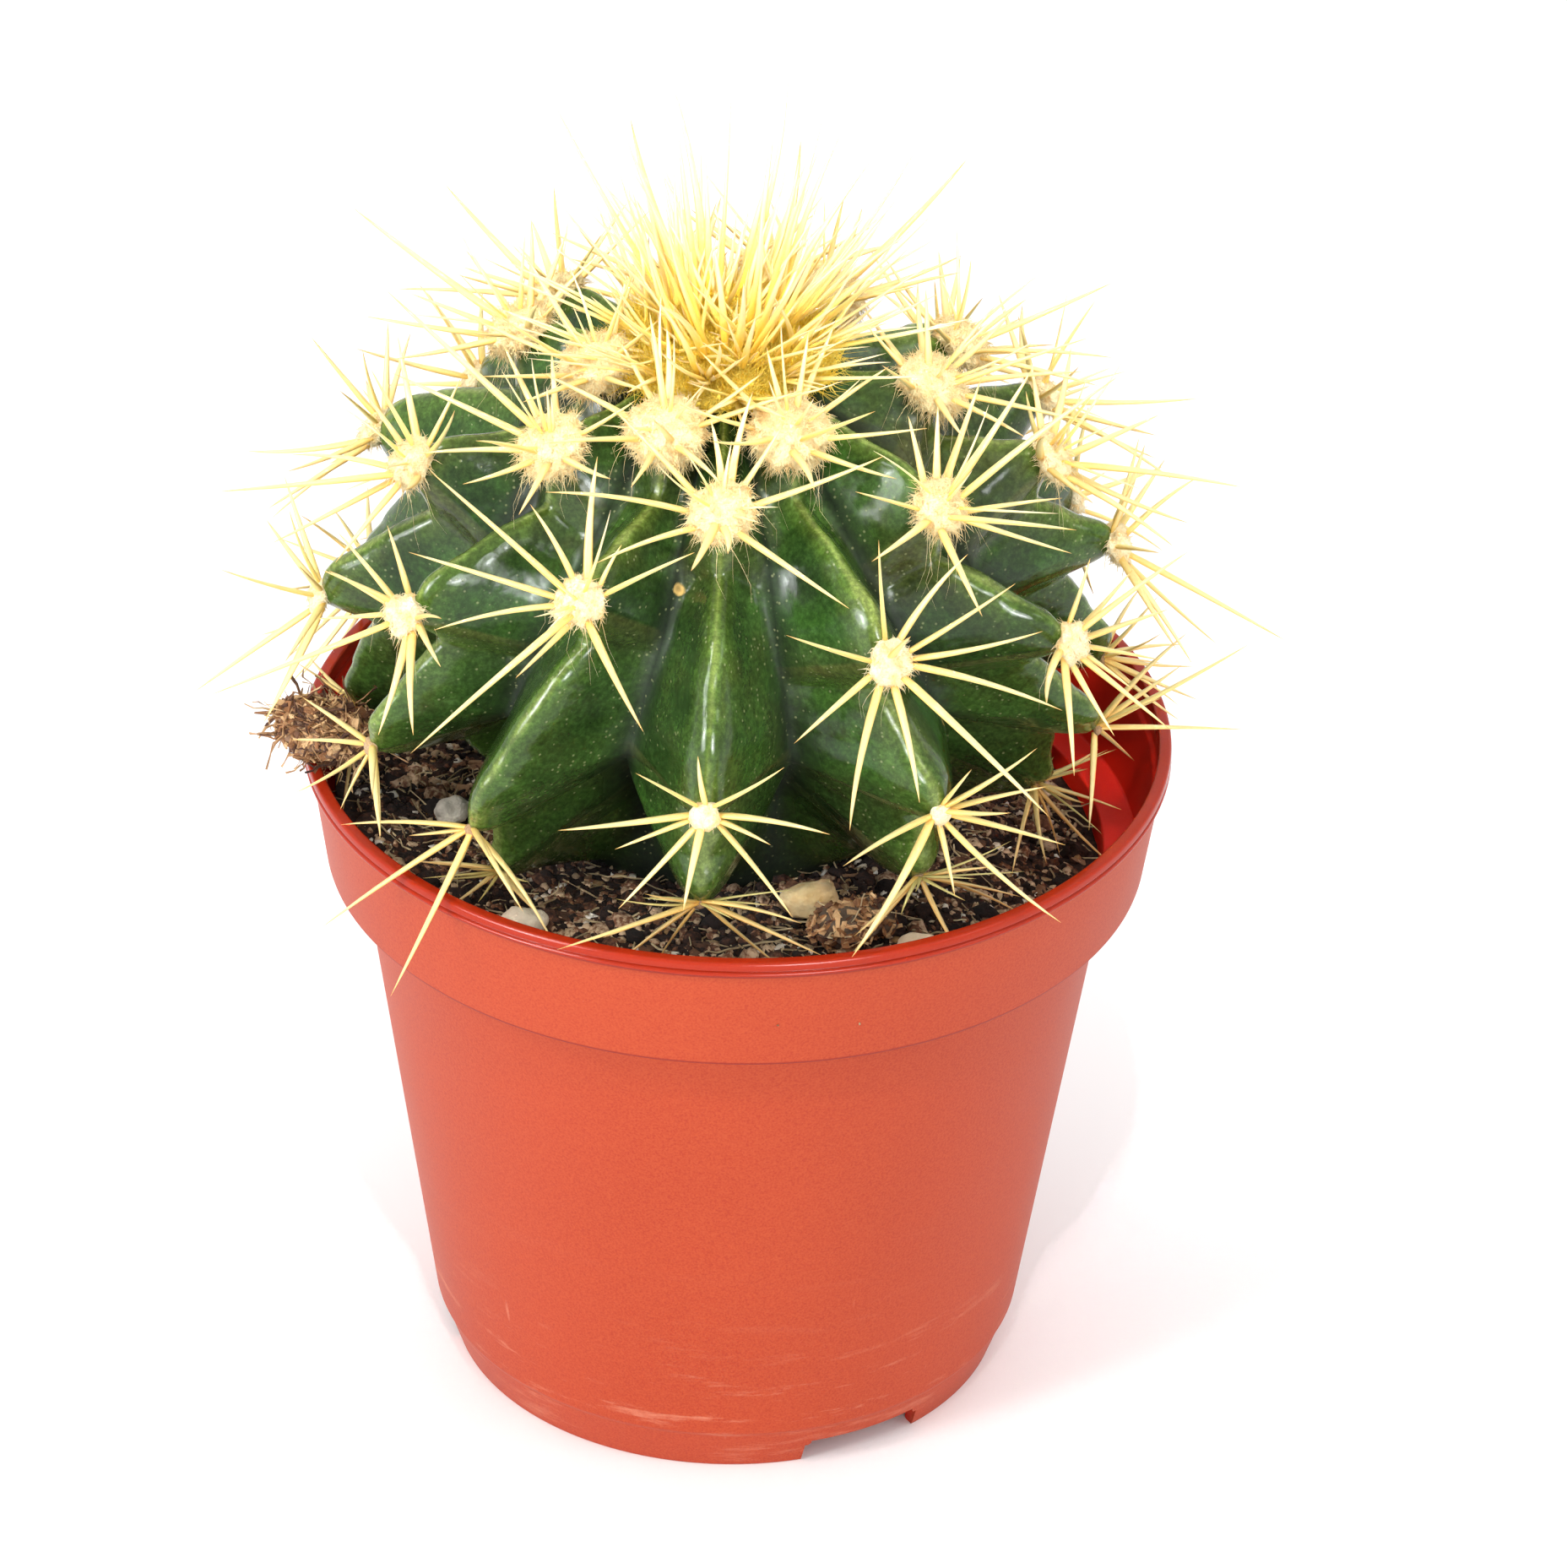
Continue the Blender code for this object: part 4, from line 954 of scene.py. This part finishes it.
flat = {"turnLow": (-0.35, -0.35, 0.0), "turnHigh": (0.35, 0.35, 6.28), "crumpleScale": 900.0, "crumple": 1.1}
crumbSizes = {**flat, "growLow": (0.4, 0.4, 0.35), "growHigh": (1.35, 1.35, 1.1), "crumple": 1.5}
gritSizes = {**crumbSizes, "growLow": (0.35, 0.35, 0.35), "growHigh": (2.3, 1.9, 1.3)}
flakeSizes = {**flat, "growLow": (0.5, 0.5, 0.6), "growHigh": (1.6, 1.4, 1.4)}
fibreSizes = {**flat, "growLow": (0.4, 1.0, 1.0), "growHigh": (1.5, 1.0, 1.0), "crumpleScale": 420.0,
              "crumple": 0.35}
strewn = [
    ("soilCrumbs", crumbShape, earth, crumbSizes, "crumb", 3),
    ("soilClods", clodShape, earth, crumbSizes, "clod", 4),
    ("barkFlakes", flakeShape, barkBrown, flakeSizes, "bark", 5),
    ("paleGrit", crumbShape, gritPale, gritSizes, "grit", 7),
    ("dryFibres", fibreShape, rootStraw, fibreSizes, "fibre", 9),
]
bedMesh = soilBedMesh(earth)
for name, shape, material, sizes, label, seed in strewn:
    density, size = soil[label + "Density"], soil[label + "Size"]
    grown = strew(name, bedMesh.copy(), shape, material, sizes, density, size, seed)
    if shape is not flakeShape:
        smooth(grown)
    newPiece(name, grown, "potting_soil")
giveAttribute(bedMesh, "shade", soil["shade"])
newPiece("soilBed", bedMesh, "potting_soil", "soil")


# loose stones and bark on the soil, refined from their own nodes:
# each node's slot, its piece, and how deep and how fine its surface is roughened

loose = {
    "stone_tan": ("tan_stone", "tanStone", 0.0007, 300.0),
    "stone_pale_left": ("pale_stone", "paleStone", 0.0005, 380.0),
    "stone_pale_right": ("pale_stone", "paleStoneWarm", 0.0005, 380.0),
    "stone_pale_back": ("pale_stone", "paleStoneCool", 0.0004, 420.0),
    "bark_lump": ("dark_bark", "darkBark", 0.0011, 420.0),
    "bark_clump": ("brown_bark", "brownBark", 0.0014, 330.0),
}
# shape, material, density, size and seed of what covers the two pieces of bark
flakeCoat = ("Flakes", flakeShape, barkGold, 1100000.0, 0.0005, 17)
coats = {
    "bark_lump": (flakeCoat, ("Strands", fibreShape, rootStraw, 150000.0, 0.0022, 19)),
    "bark_clump": (flakeCoat, ("Strands", fibreShape, barkGold, 700000.0, 0.0042, 23)),
}
coatSizes = {**flakeSizes, "turnLow": (-0.8, -0.8, 0.0), "turnHigh": (0.8, 0.8, 6.28), "crumpleScale": 500.0,
             "crumple": 0.8}


def roughen(nodeName, material, depth, scale):
    bm = mergedCopy(nodeName)
    bmesh.ops.subdivide_edges(bm, edges=bm.edges[:], cuts=3, use_grid_fill=True, smooth=0.6)
    bm.normal_update()
    moves = [v.normal * (noise.fractal(v.co * scale, 1.0, 2.0, 4) * depth - 0.2 * depth) for v in bm.verts]
    for vert, move in zip(bm.verts, moves):
        vert.co += move
    mesh = meshOf(nodeName + "Rough", bm, material)
    giveAttribute(mesh, "shade", 0.5)
    return mesh


for nodeName, (slotName, pieceName, depth, scale) in loose.items():
    mesh = roughen(nodeName, earthMaterial(pieceName, 0.85, 2200.0), depth, scale)
    newPiece(pieceName, mesh, slotName, nodeName)
    for label, shape, material, density, size, seed in coats.get(nodeName, ()):
        coat = mesh.copy()
        giveAttribute(coat, "topSide", 1.0)
        grown = strew(pieceName + label, coat, shape, material, coatSizes, density, size, seed)
        newPiece(pieceName + label, grown, slotName)
print("loose pieces:", len(loose))


# needles: one curve from each root to its tip, bent, tapered and flattened by Geometry Nodes

needle = {
    "oldWidth": 0.00060, "crownWidth": 0.00060, "youngWidth": 0.00043, "flatness": 0.6, "points": 9,
    "sides": 8, "bend": 0.045, "sunkRoot": 0.03, "shorter": 0.005, "boxGap": 0.0012,
    "taper": ((0.08, 1.0), (0.5, 0.74), (0.85, 0.36)), "rootTaper": 0.82, "tipTaper": 0.035,
}
needleColors = {
    "strawNeedles": ((0.0, (0.90, 0.56, 0.12)), (0.1, (0.95, 0.74, 0.26)), (0.45, (0.97, 0.83, 0.38)),
                     (0.86, (0.97, 0.83, 0.42)), (1.0, (0.76, 0.46, 0.14))),
    "youngYellowNeedles": ((0.0, (0.98, 0.64, 0.04)), (0.2, (0.98, 0.77, 0.15)), (0.55, (0.98, 0.86, 0.46)),
                           (1.0, (0.96, 0.80, 0.58))),
    "oldGreenNeedles": ((0.0, (0.50, 0.36, 0.08)), (0.2, (0.68, 0.62, 0.22)), (0.7, (0.78, 0.72, 0.30)),
                        (1.0, (0.62, 0.46, 0.14))),
}


def needleMaterial(name, edgeShade):
    # painted shade: the two narrow edges are drawn amber, as the shaded edges of the flattened needle, and
    # the tone of a needle darkens it
    material, shader, place = newMaterial(name, 0.38)
    along = attribute(place, "along")
    grain = noiseAt(place, 1600.0, 3.0)
    color = ramp(along + (grain - 0.5) * 0.16, *needleColors[name])
    color = mix(ramp(attribute(place, "rim"), (0.6, 0.0), (1.0, 1.0)) * 0.7, color, edgeShade)
    color = mix(attribute(place, "tone") * 0.45, color, (0.62, 0.33, 0.06), "MULTIPLY")
    feed(shader, "Base Color", color)
    length = wire(place.tree, "ShaderNodeCombineXYZ", {0: along})
    waves = {"Vector": length, "Scale": 26.0, "Distortion": 1.5}
    bump(shader, wire(place.tree, "ShaderNodeTexWave", waves, 1) + grain, 0.25, 0.00006)
    return material


def growNeedles(name, needles, material, slotName, *nodes):
    sizes = {"Points": needle["points"], "Sides": needle["sides"], "Flatness": needle["flatness"]}
    tree, entry = newGrower("needleGrower", sizes)
    lines = wire(tree, "GeometryNodeMeshToCurve", {"Mesh": entry["Geometry"]})
    lines = wire(tree, "GeometryNodeResampleCurve", {"Curve": lines, "Count": entry["Points"]})
    share = splineShare(tree)
    arch = share * (1.0 - share) * 4.0
    lines = moveBy(lines, scaled(named(tree, "bend", "FLOAT_VECTOR"), arch))
    lines = storeOn(lines, "along", share)
    taper = put(tree, "ShaderNodeFloatCurve", {"Value": share})
    bow = taper.mapping.curves[0]
    bow.points[0].location = (0.0, needle["rootTaper"])
    bow.points[1].location = (1.0, needle["tipTaper"])
    for spot in needle["taper"]:
        bow.points.new(*spot)
    taper.mapping.update()
    radius = named(tree, "width") * Wire(tree, taper.outputs[0])
    rim = joined("ABSOLUTE", axis(position(tree), 0))
    profile = storeOn(ringCurve(tree, entry["Sides"], 1.0), "rim", rim)
    squeeze = wire(tree, "ShaderNodeCombineXYZ", {0: 1.0, 1: entry["Flatness"], 2: 1.0})
    profile = wire(tree, "GeometryNodeTransform", {"Geometry": profile, "Scale": squeeze})
    solid = swept(lines, profile, **{"Scale": radius, "Fill Caps": True})
    newPiece(name, growMesh(name, needleLines(name + "Lines", needles), solid, material), slotName, *nodes)


def needleLines(name, needles):
    # each needle is (root, tip, width, tone)
    points, edges, widths, bends, tones = [], [], [], [], []
    for root, tip, width, tone in needles:
        run = tip - root
        side = run.cross(Vector([dice.uniform(-1, 1) for _ in range(3)])).normalized()
        sag = side * run.length * needle["bend"] * dice.uniform(-1, 1)
        edges.append((len(points), len(points) + 1))
        points += [tuple(root - run * needle["sunkRoot"]), tuple(tip - run * needle["shorter"])]
        widths += [width, width]
        bends += [sag[:], sag[:]]
        tones += [tone, tone]
    mesh = bpy.data.meshes.new(name)
    mesh.from_pydata(points, edges, [])
    giveAttribute(mesh, "width", widths)
    giveAttribute(mesh, "bend", bends, "FLOAT_VECTOR")
    giveAttribute(mesh, "tone", tones)
    return mesh


def outwardAt(place):
    centre = axisAt(min(place.z, stem["girthHeight"] + 0.01))
    return (place - centre + upBy(0.012)).normalized()


def insideBox(tip):
    low, high = cadBox
    return all(low[k] + needle["boxGap"] < tip[k] < high[k] - needle["boxGap"] for k in range(3))


def scattered(flatness=1.0):
    return Vector((dice.gauss(0, 1), dice.gauss(0, 1), dice.gauss(0, flatness)))


# each areole is moved onto the skin, and is smaller the lower it sits
pads = {
    "heights": (0.098, 0.108, 0.117, 0.130, 0.145, 0.155, 0.161),
    "radii": (0.0009, 0.0012, 0.0021, 0.0029, 0.0032, 0.0041, 0.0052),
    "proud": 0.1, "fullRadius": 0.0034, "oldHeight": 0.112, "oldSpan": 0.012,
}
dice = random.Random(21)
skinFaces = [face.vertices[:] for face in skinMesh.polygons]
skinTree = BVHTree.FromPolygons([vert.co[:] for vert in skinMesh.vertices], skinFaces)
oldNeedles = []
for areole in areoles:
    areole["out"] = outwardAt(areole["seat"])
    areole["radius"] = float(np.interp(areole["seat"].z, pads["heights"], pads["radii"]))
    onSkin = skinTree.find_nearest(areole["seat"])[0]
    moved = onSkin + areole["out"] * pads["proud"] * areole["radius"] - areole["seat"]
    seat = areole["seat"] + moved
    areole["seat"] = seat
    shrink = min(1.0, max(0.3, areole["radius"] / pads["fullRadius"]))
    old = float(smoothStep((pads["oldHeight"] - seat.z) / pads["oldSpan"]))
    for first, tip in areole["needles"]:
        root = seat + (first + moved * 0.5 - seat) * shrink
        length = (tip - root).length
        width = needle["oldWidth"] * (0.75 + 0.35 * min(1.0, length / 0.024)) * dice.uniform(0.9, 1.08)
        oldNeedles.append((root, tip, width * (1 - 0.22 * old), old * 0.55 + dice.uniform(0.0, 0.35)))
straw = needleMaterial("strawNeedles", (0.90, 0.48, 0.06))
growNeedles("spineNeedles", oldNeedles, straw, "straw_spines", *[a["node"] for a in areoles])

# young needles stand in tufts round the crown, and a few thin ones on the upper areoles
tuft = {
    "count": 24, "goldenTurn": 2.399963, "ring": 0.0135, "rise": 0.0018, "fall": 0.0014,
    "needles": 10, "shortest": 0.006, "longest": 0.024, "lean": 2.3, "spread": 0.62, "lowestAim": 0.04,
    "padsAbove": 0.14, "padNeedles": 5, "padShortest": 0.008, "padLongest": 0.019, "padSpread": 0.6,
}
youngNeedles = [(root, tip, needle["crownWidth"] * dice.uniform(0.8, 1.12), dice.uniform(0.0, 0.2))
                for root, tip in crown["needles"]]
apex = axisAt(stemHigh.z)
for number in range(tuft["count"]):
    around = outward(number * tuft["goldenTurn"])
    share = math.sqrt((number + 0.5) / tuft["count"])
    rise = tuft["rise"] * (1 - share) - tuft["fall"] * share ** 4
    base = apex + around * tuft["ring"] * share + upBy(rise)
    for _ in range(tuft["needles"]):
        aim = upBy(1) + around * tuft["lean"] * share ** 2 + scattered(0.3) * tuft["spread"]
        aim.normalize()
        tip = base + aim * dice.uniform(tuft["shortest"], tuft["longest"])
        if insideBox(tip) and aim.z > tuft["lowestAim"]:
            width = needle["youngWidth"] * dice.uniform(0.75, 1.25)
            youngNeedles.append((base, tip, width, dice.uniform(0.0, 0.15)))
for areole in areoles:
    seat, out = areole["seat"], areole["out"]
    if seat.z < tuft["padsAbove"]:
        continue
    for _ in range(tuft["padNeedles"]):
        aim = (out + scattered() * tuft["padSpread"]).normalized()
        tip = seat + aim * dice.uniform(tuft["padShortest"], tuft["padLongest"])
        if insideBox(tip) and aim.dot(out) > 0.35:
            youngNeedles.append((seat, tip, needle["youngWidth"] * 0.8, dice.uniform(0.0, 0.2)))
yellow = needleMaterial("youngYellowNeedles", (0.97, 0.68, 0.17))
growNeedles("crownNeedles", youngNeedles, yellow, "crown_wool", "crown")

# the lowest, buried areoles send thin greenish needles out over the soil
sunken = {
    "below": 0.101, "needles": 8, "shortest": 0.007, "longest": 0.017, "width": 0.00025,
    "swing": 1.5, "rise": 0.12, "riseSpread": 0.16, "reach": 0.0545, "overSoil": 0.0012,
}
lowNeedles = []
for areole in areoles:
    seat, out = areole["seat"], areole["out"]
    if seat.z > sunken["below"]:
        continue
    side = out.cross(upBy(1)).normalized()
    flatOut = Vector((out.x, out.y, 0)).normalized()
    for _ in range(sunken["needles"]):
        swing = dice.uniform(-sunken["swing"], sunken["swing"])
        rise = dice.gauss(sunken["rise"], sunken["riseSpread"])
        aim = flatOut * math.cos(swing) + side * math.sin(swing) + upBy(rise)
        tip = seat + aim.normalized() * dice.uniform(sunken["shortest"], sunken["longest"])
        clear = tip.z >= soilHeight(tip.x, tip.y) + sunken["overSoil"]
        if clear and math.hypot(tip.x, tip.y) <= sunken["reach"]:
            width = sunken["width"] * dice.uniform(0.8, 1.3)
            lowNeedles.append((seat, tip, width, dice.uniform(0.2, 0.7)))
greenish = needleMaterial("oldGreenNeedles", (0.50, 0.42, 0.10))
growNeedles("soilNeedles", lowNeedles, greenish, "straw_spines")


# wool: lumpy cushions under the needles, and a coat of fine hair grown on them

wool = {
    "padRise": 0.6, "padLumps": 620.0, "padSwelling": 0.32, "barePad": 0.0013, "plushSpan": 0.0026,
    "crownRadius": 0.0142, "crownRise": 0.26, "crownDrop": 0.0016, "crownSkirt": 0.0006,
    "crownLumps": 260.0, "crownSwelling": 0.12,
}
# the colours of the low patches, the tops, the painted shade in the gaps between strands, and the thick
# cushions
creamTints = ((0.95, 0.68, 0.31), (0.95, 0.84, 0.59), (0.90, 0.54, 0.17), (0.97, 0.81, 0.42))
goldTints = ((0.99, 0.68, 0.03), (0.99, 0.83, 0.19), (0.98, 0.52, 0.012), (0.99, 0.76, 0.08))
hair = {
    "woolHair": {"Density": 4e6, "Length": 0.00145, "Width": 88e-6, "Points": 3, "Droop": 0.3, "Seed": 31},
    "looseWool": {"Density": 13e4, "Length": 0.0042, "Width": 57.2e-6, "Points": 6, "Droop": 1.5, "Seed": 32},
    "crownHair": {"Density": 5.2e6, "Length": 0.0036, "Width": 90e-6, "Points": 3, "Droop": -0.2, "Seed": 5},
}


def cushion(bm, centre, out, radius, rise, detail, lumps, swelling):
    turn = out.to_track_quat("Z", "Y").to_matrix()
    made = bmesh.ops.create_icosphere(bm, subdivisions=detail, radius=radius)["verts"]
    shift = Vector((dice.uniform(0, 40), 0, 0))
    for vert in made:
        spot = vert.co * lumps
        swell = 1 + swelling * noise.noise(spot + shift) + 0.3 * swelling * noise.noise(spot * 2.6)
        vert.co = Vector((vert.co.x * swell, vert.co.y * swell, vert.co.z * rise * swell))
        vert.co = centre + turn @ vert.co
    return made


def woolMaterial(name, low, high, strandGapShade, lush):
    material, shader, place = newMaterial(name, 0.95, 0.2)
    strand = noiseAt(place, 3600.0)
    color = mix(attribute(place, "lush") * 0.7, high, lush)
    color = mix(ramp(noiseAt(place, 620.0, 4.0), (0.38, 0.85), (0.52, 0.0)), color, low)
    # painted shade: the gaps between strands are drawn a deeper, darker colour
    color = mix(ramp(strand, (0.3, 0.5), (0.5, 0.0)), color, strandGapShade)
    color = mix(ramp(attribute(place, "bald"), (0.3, 0.0), (1.0, 0.8)), color, (0.30, 0.13, 0.04))
    feed(shader, "Base Color", color)
    bump(shader, strand, 0.8, 0.0004)
    return material


def growHair(name, base, material, slotName):
    tree, entry = newGrower(name, hair[name])
    length, seed, plush = entry["Length"], entry["Seed"], named(tree, "plush")
    points, rotation = scatter(entry, entry["Density"] * plush)
    line = straightLine(tree, (0, 0, -0.12), (0, 0, 1), entry["Points"])
    line = storeOn(line, "along", splineShare(tree))
    tilt = chance((-0.9, -0.9, 0.0), (0.9, 0.9, 6.28), seed)
    strands = standOn(points, line, rotation, tilt, chance(0.35, 1.3, seed) * (length * plush))
    # a hair curls and sinks more and more towards its tip, and gets thinner
    along = named(tree, "along")
    curl = scaled(centredNoise(position(tree), 640.0), length * 1.8)
    sag = wire(tree, "ShaderNodeCombineXYZ", {2: length * entry["Droop"] * -1.0})
    move = wire(tree, "ShaderNodeVectorMath", {0: curl, 1: sag}, operation="ADD")
    strands = moveBy(realized(strands), scaled(move, along * along))
    solid = swept(strands, ringCurve(tree, 3, 1.0), Scale=entry["Width"] * (1.1 - along))
    newPiece(name, growMesh(name, base.copy(), solid, material), slotName)


cream = woolMaterial("creamWool", *creamTints)
gold = woolMaterial("goldenCrownWool", *goldTints)
bm = bmesh.new()
plush = []
for areole in areoles:
    seat, out, radius = areole["seat"], areole["out"], areole["radius"]
    detail = 3 if radius > 0.0024 else 2
    made = cushion(bm, seat, out, radius, wool["padRise"], detail, wool["padLumps"], wool["padSwelling"])
    plush += [max(0.0, min(1.0, (radius - wool["barePad"]) / wool["plushSpan"]))] * len(made)
padMesh = meshOf("woolPads", bm, cream)
giveAttribute(padMesh, "plush", plush)
giveAttribute(padMesh, "bald", [max(0.0, 1 - 8 * value) for value in plush])
giveAttribute(padMesh, "lush", [value ** 2 for value in plush])
newPiece("woolPads", padMesh, "straw_spines")
growHair("woolHair", padMesh, cream, "straw_spines")
growHair("looseWool", padMesh, cream, "straw_spines")
bm = bmesh.new()
middle = apex - upBy(wool["crownDrop"])
radius, rise = wool["crownRadius"], wool["crownRise"]
cushion(bm, middle, upBy(1), radius, rise, 5, wool["crownLumps"], wool["crownSwelling"])
crownMesh = meshOf("crownWool", bm, gold)
skirt = middle.z - wool["crownSkirt"]
giveAttribute(crownMesh, "lush", 0.5)
giveAttribute(crownMesh, "plush", [1.0 if vert.co.z > skirt else 0.0 for vert in crownMesh.vertices])
newPiece("crownWool", crownMesh, "crown_wool")
growHair("crownHair", crownMesh, gold, "crown_wool")


# floor, light and camera

stage = {
    "floor": 6.0, "world": 0.84, "cameraSpot": (0.0, -1.05865, 0.74699), "aim": (0.0065, 0.0, 0.08846),
    "roll": 1.422, "lens": 206.55, "sensor": 36.0, "far": 20.0,
}


def floorMaterial():
    material, shader, place = newMaterial("paleFloor", 0.9)
    feed(shader, "Base Color", ramp(noiseAt(place, 3.0), (0.3, 0.94), (0.7, 0.96)))
    return material


half = stage["floor"] / 2
corners = [(-half, -half, 0), (half, -half, 0), (half, half, 0), (-half, half, 0)]
placed("floor", meshFrom("floor", corners, [(0, 1, 2, 3)], floorMaterial()))

# each lamp's place, size, power, colour and spread
lights = {
    "keyLeft": ((-0.75, -0.6, 1.0), 0.26, 4.5, (1.0, 0.985, 0.96), 180.0),
    "lowLeft": ((-0.84, -0.66, 0.36), 0.19, 4.0, (0.96, 0.98, 1.0), 180.0),
    "lowFront": ((0.30, -0.98, 0.30), 0.14, 2.2, (0.96, 0.98, 1.0), 180.0),
    "fillRight": ((0.95, -0.45, 0.75), 0.4, 1.4, (0.97, 0.985, 1.0), 180.0),
    "topSoft": ((0.05, 0.0, 1.35), 1.7, 6.5, (1.0, 1.0, 1.0), 180.0),
    "crownSpot": ((0.0, -0.62, 1.08), 0.12, 0.046, (1.0, 0.98, 0.94), 9.0),
    "glossLeft": ((-0.88, -0.66, 0.42), 0.72, 17.0, (0.95, 0.98, 1.0), 180.0),
    "glossFront": ((0.34, -1.0, 0.34), 0.54, 9.5, (0.95, 0.98, 1.0), 180.0),
}
for name, (spot, size, power, color, spread) in lights.items():
    lamp = bpy.data.lights.new(name, "AREA")
    lamp.shape, lamp.size, lamp.energy, lamp.color = "DISK", size, power, color
    lamp.spread = math.radians(spread)
    target = apex if name == "crownSpot" else upBy(0.11)
    holder = placed(name, lamp)
    holder.location = spot
    holder.rotation_mode = "QUATERNION"
    holder.rotation_quaternion = (target - Vector(spot)).to_track_quat("-Z", "Y")
    # seen in the waxy skin, these two would lie on it as a grey veil and hard white dots
    holder.visible_glossy = name not in ("topSoft", "crownSpot")
    # and the gloss lamps are only there to be seen in the skin
    holder.visible_diffuse = not name.startswith("gloss")

world = bpy.data.worlds.new("paleStudio")
world.use_nodes = True
sky = world.node_tree.nodes["Background"].inputs
sky["Color"].default_value = (1.0, 1.0, 1.0, 1.0)
sky["Strength"].default_value = stage["world"]
bpy.context.scene.world = world
bpy.context.scene.view_settings.view_transform = "Standard"

camera = bpy.data.cameras.new("camera")
camera.lens, camera.sensor_width, camera.clip_end = stage["lens"], stage["sensor"], stage["far"]
cameraHolder = placed("camera", camera)
spot = Vector(stage["cameraSpot"])
look = (Vector(stage["aim"]) - spot).to_track_quat("-Z", "Y").to_matrix().to_4x4()
roll = Matrix.Rotation(math.radians(stage["roll"]), 4, "Z")
cameraHolder.matrix_world = Matrix.Translation(spot) @ look @ roll
bpy.context.scene.camera = cameraHolder
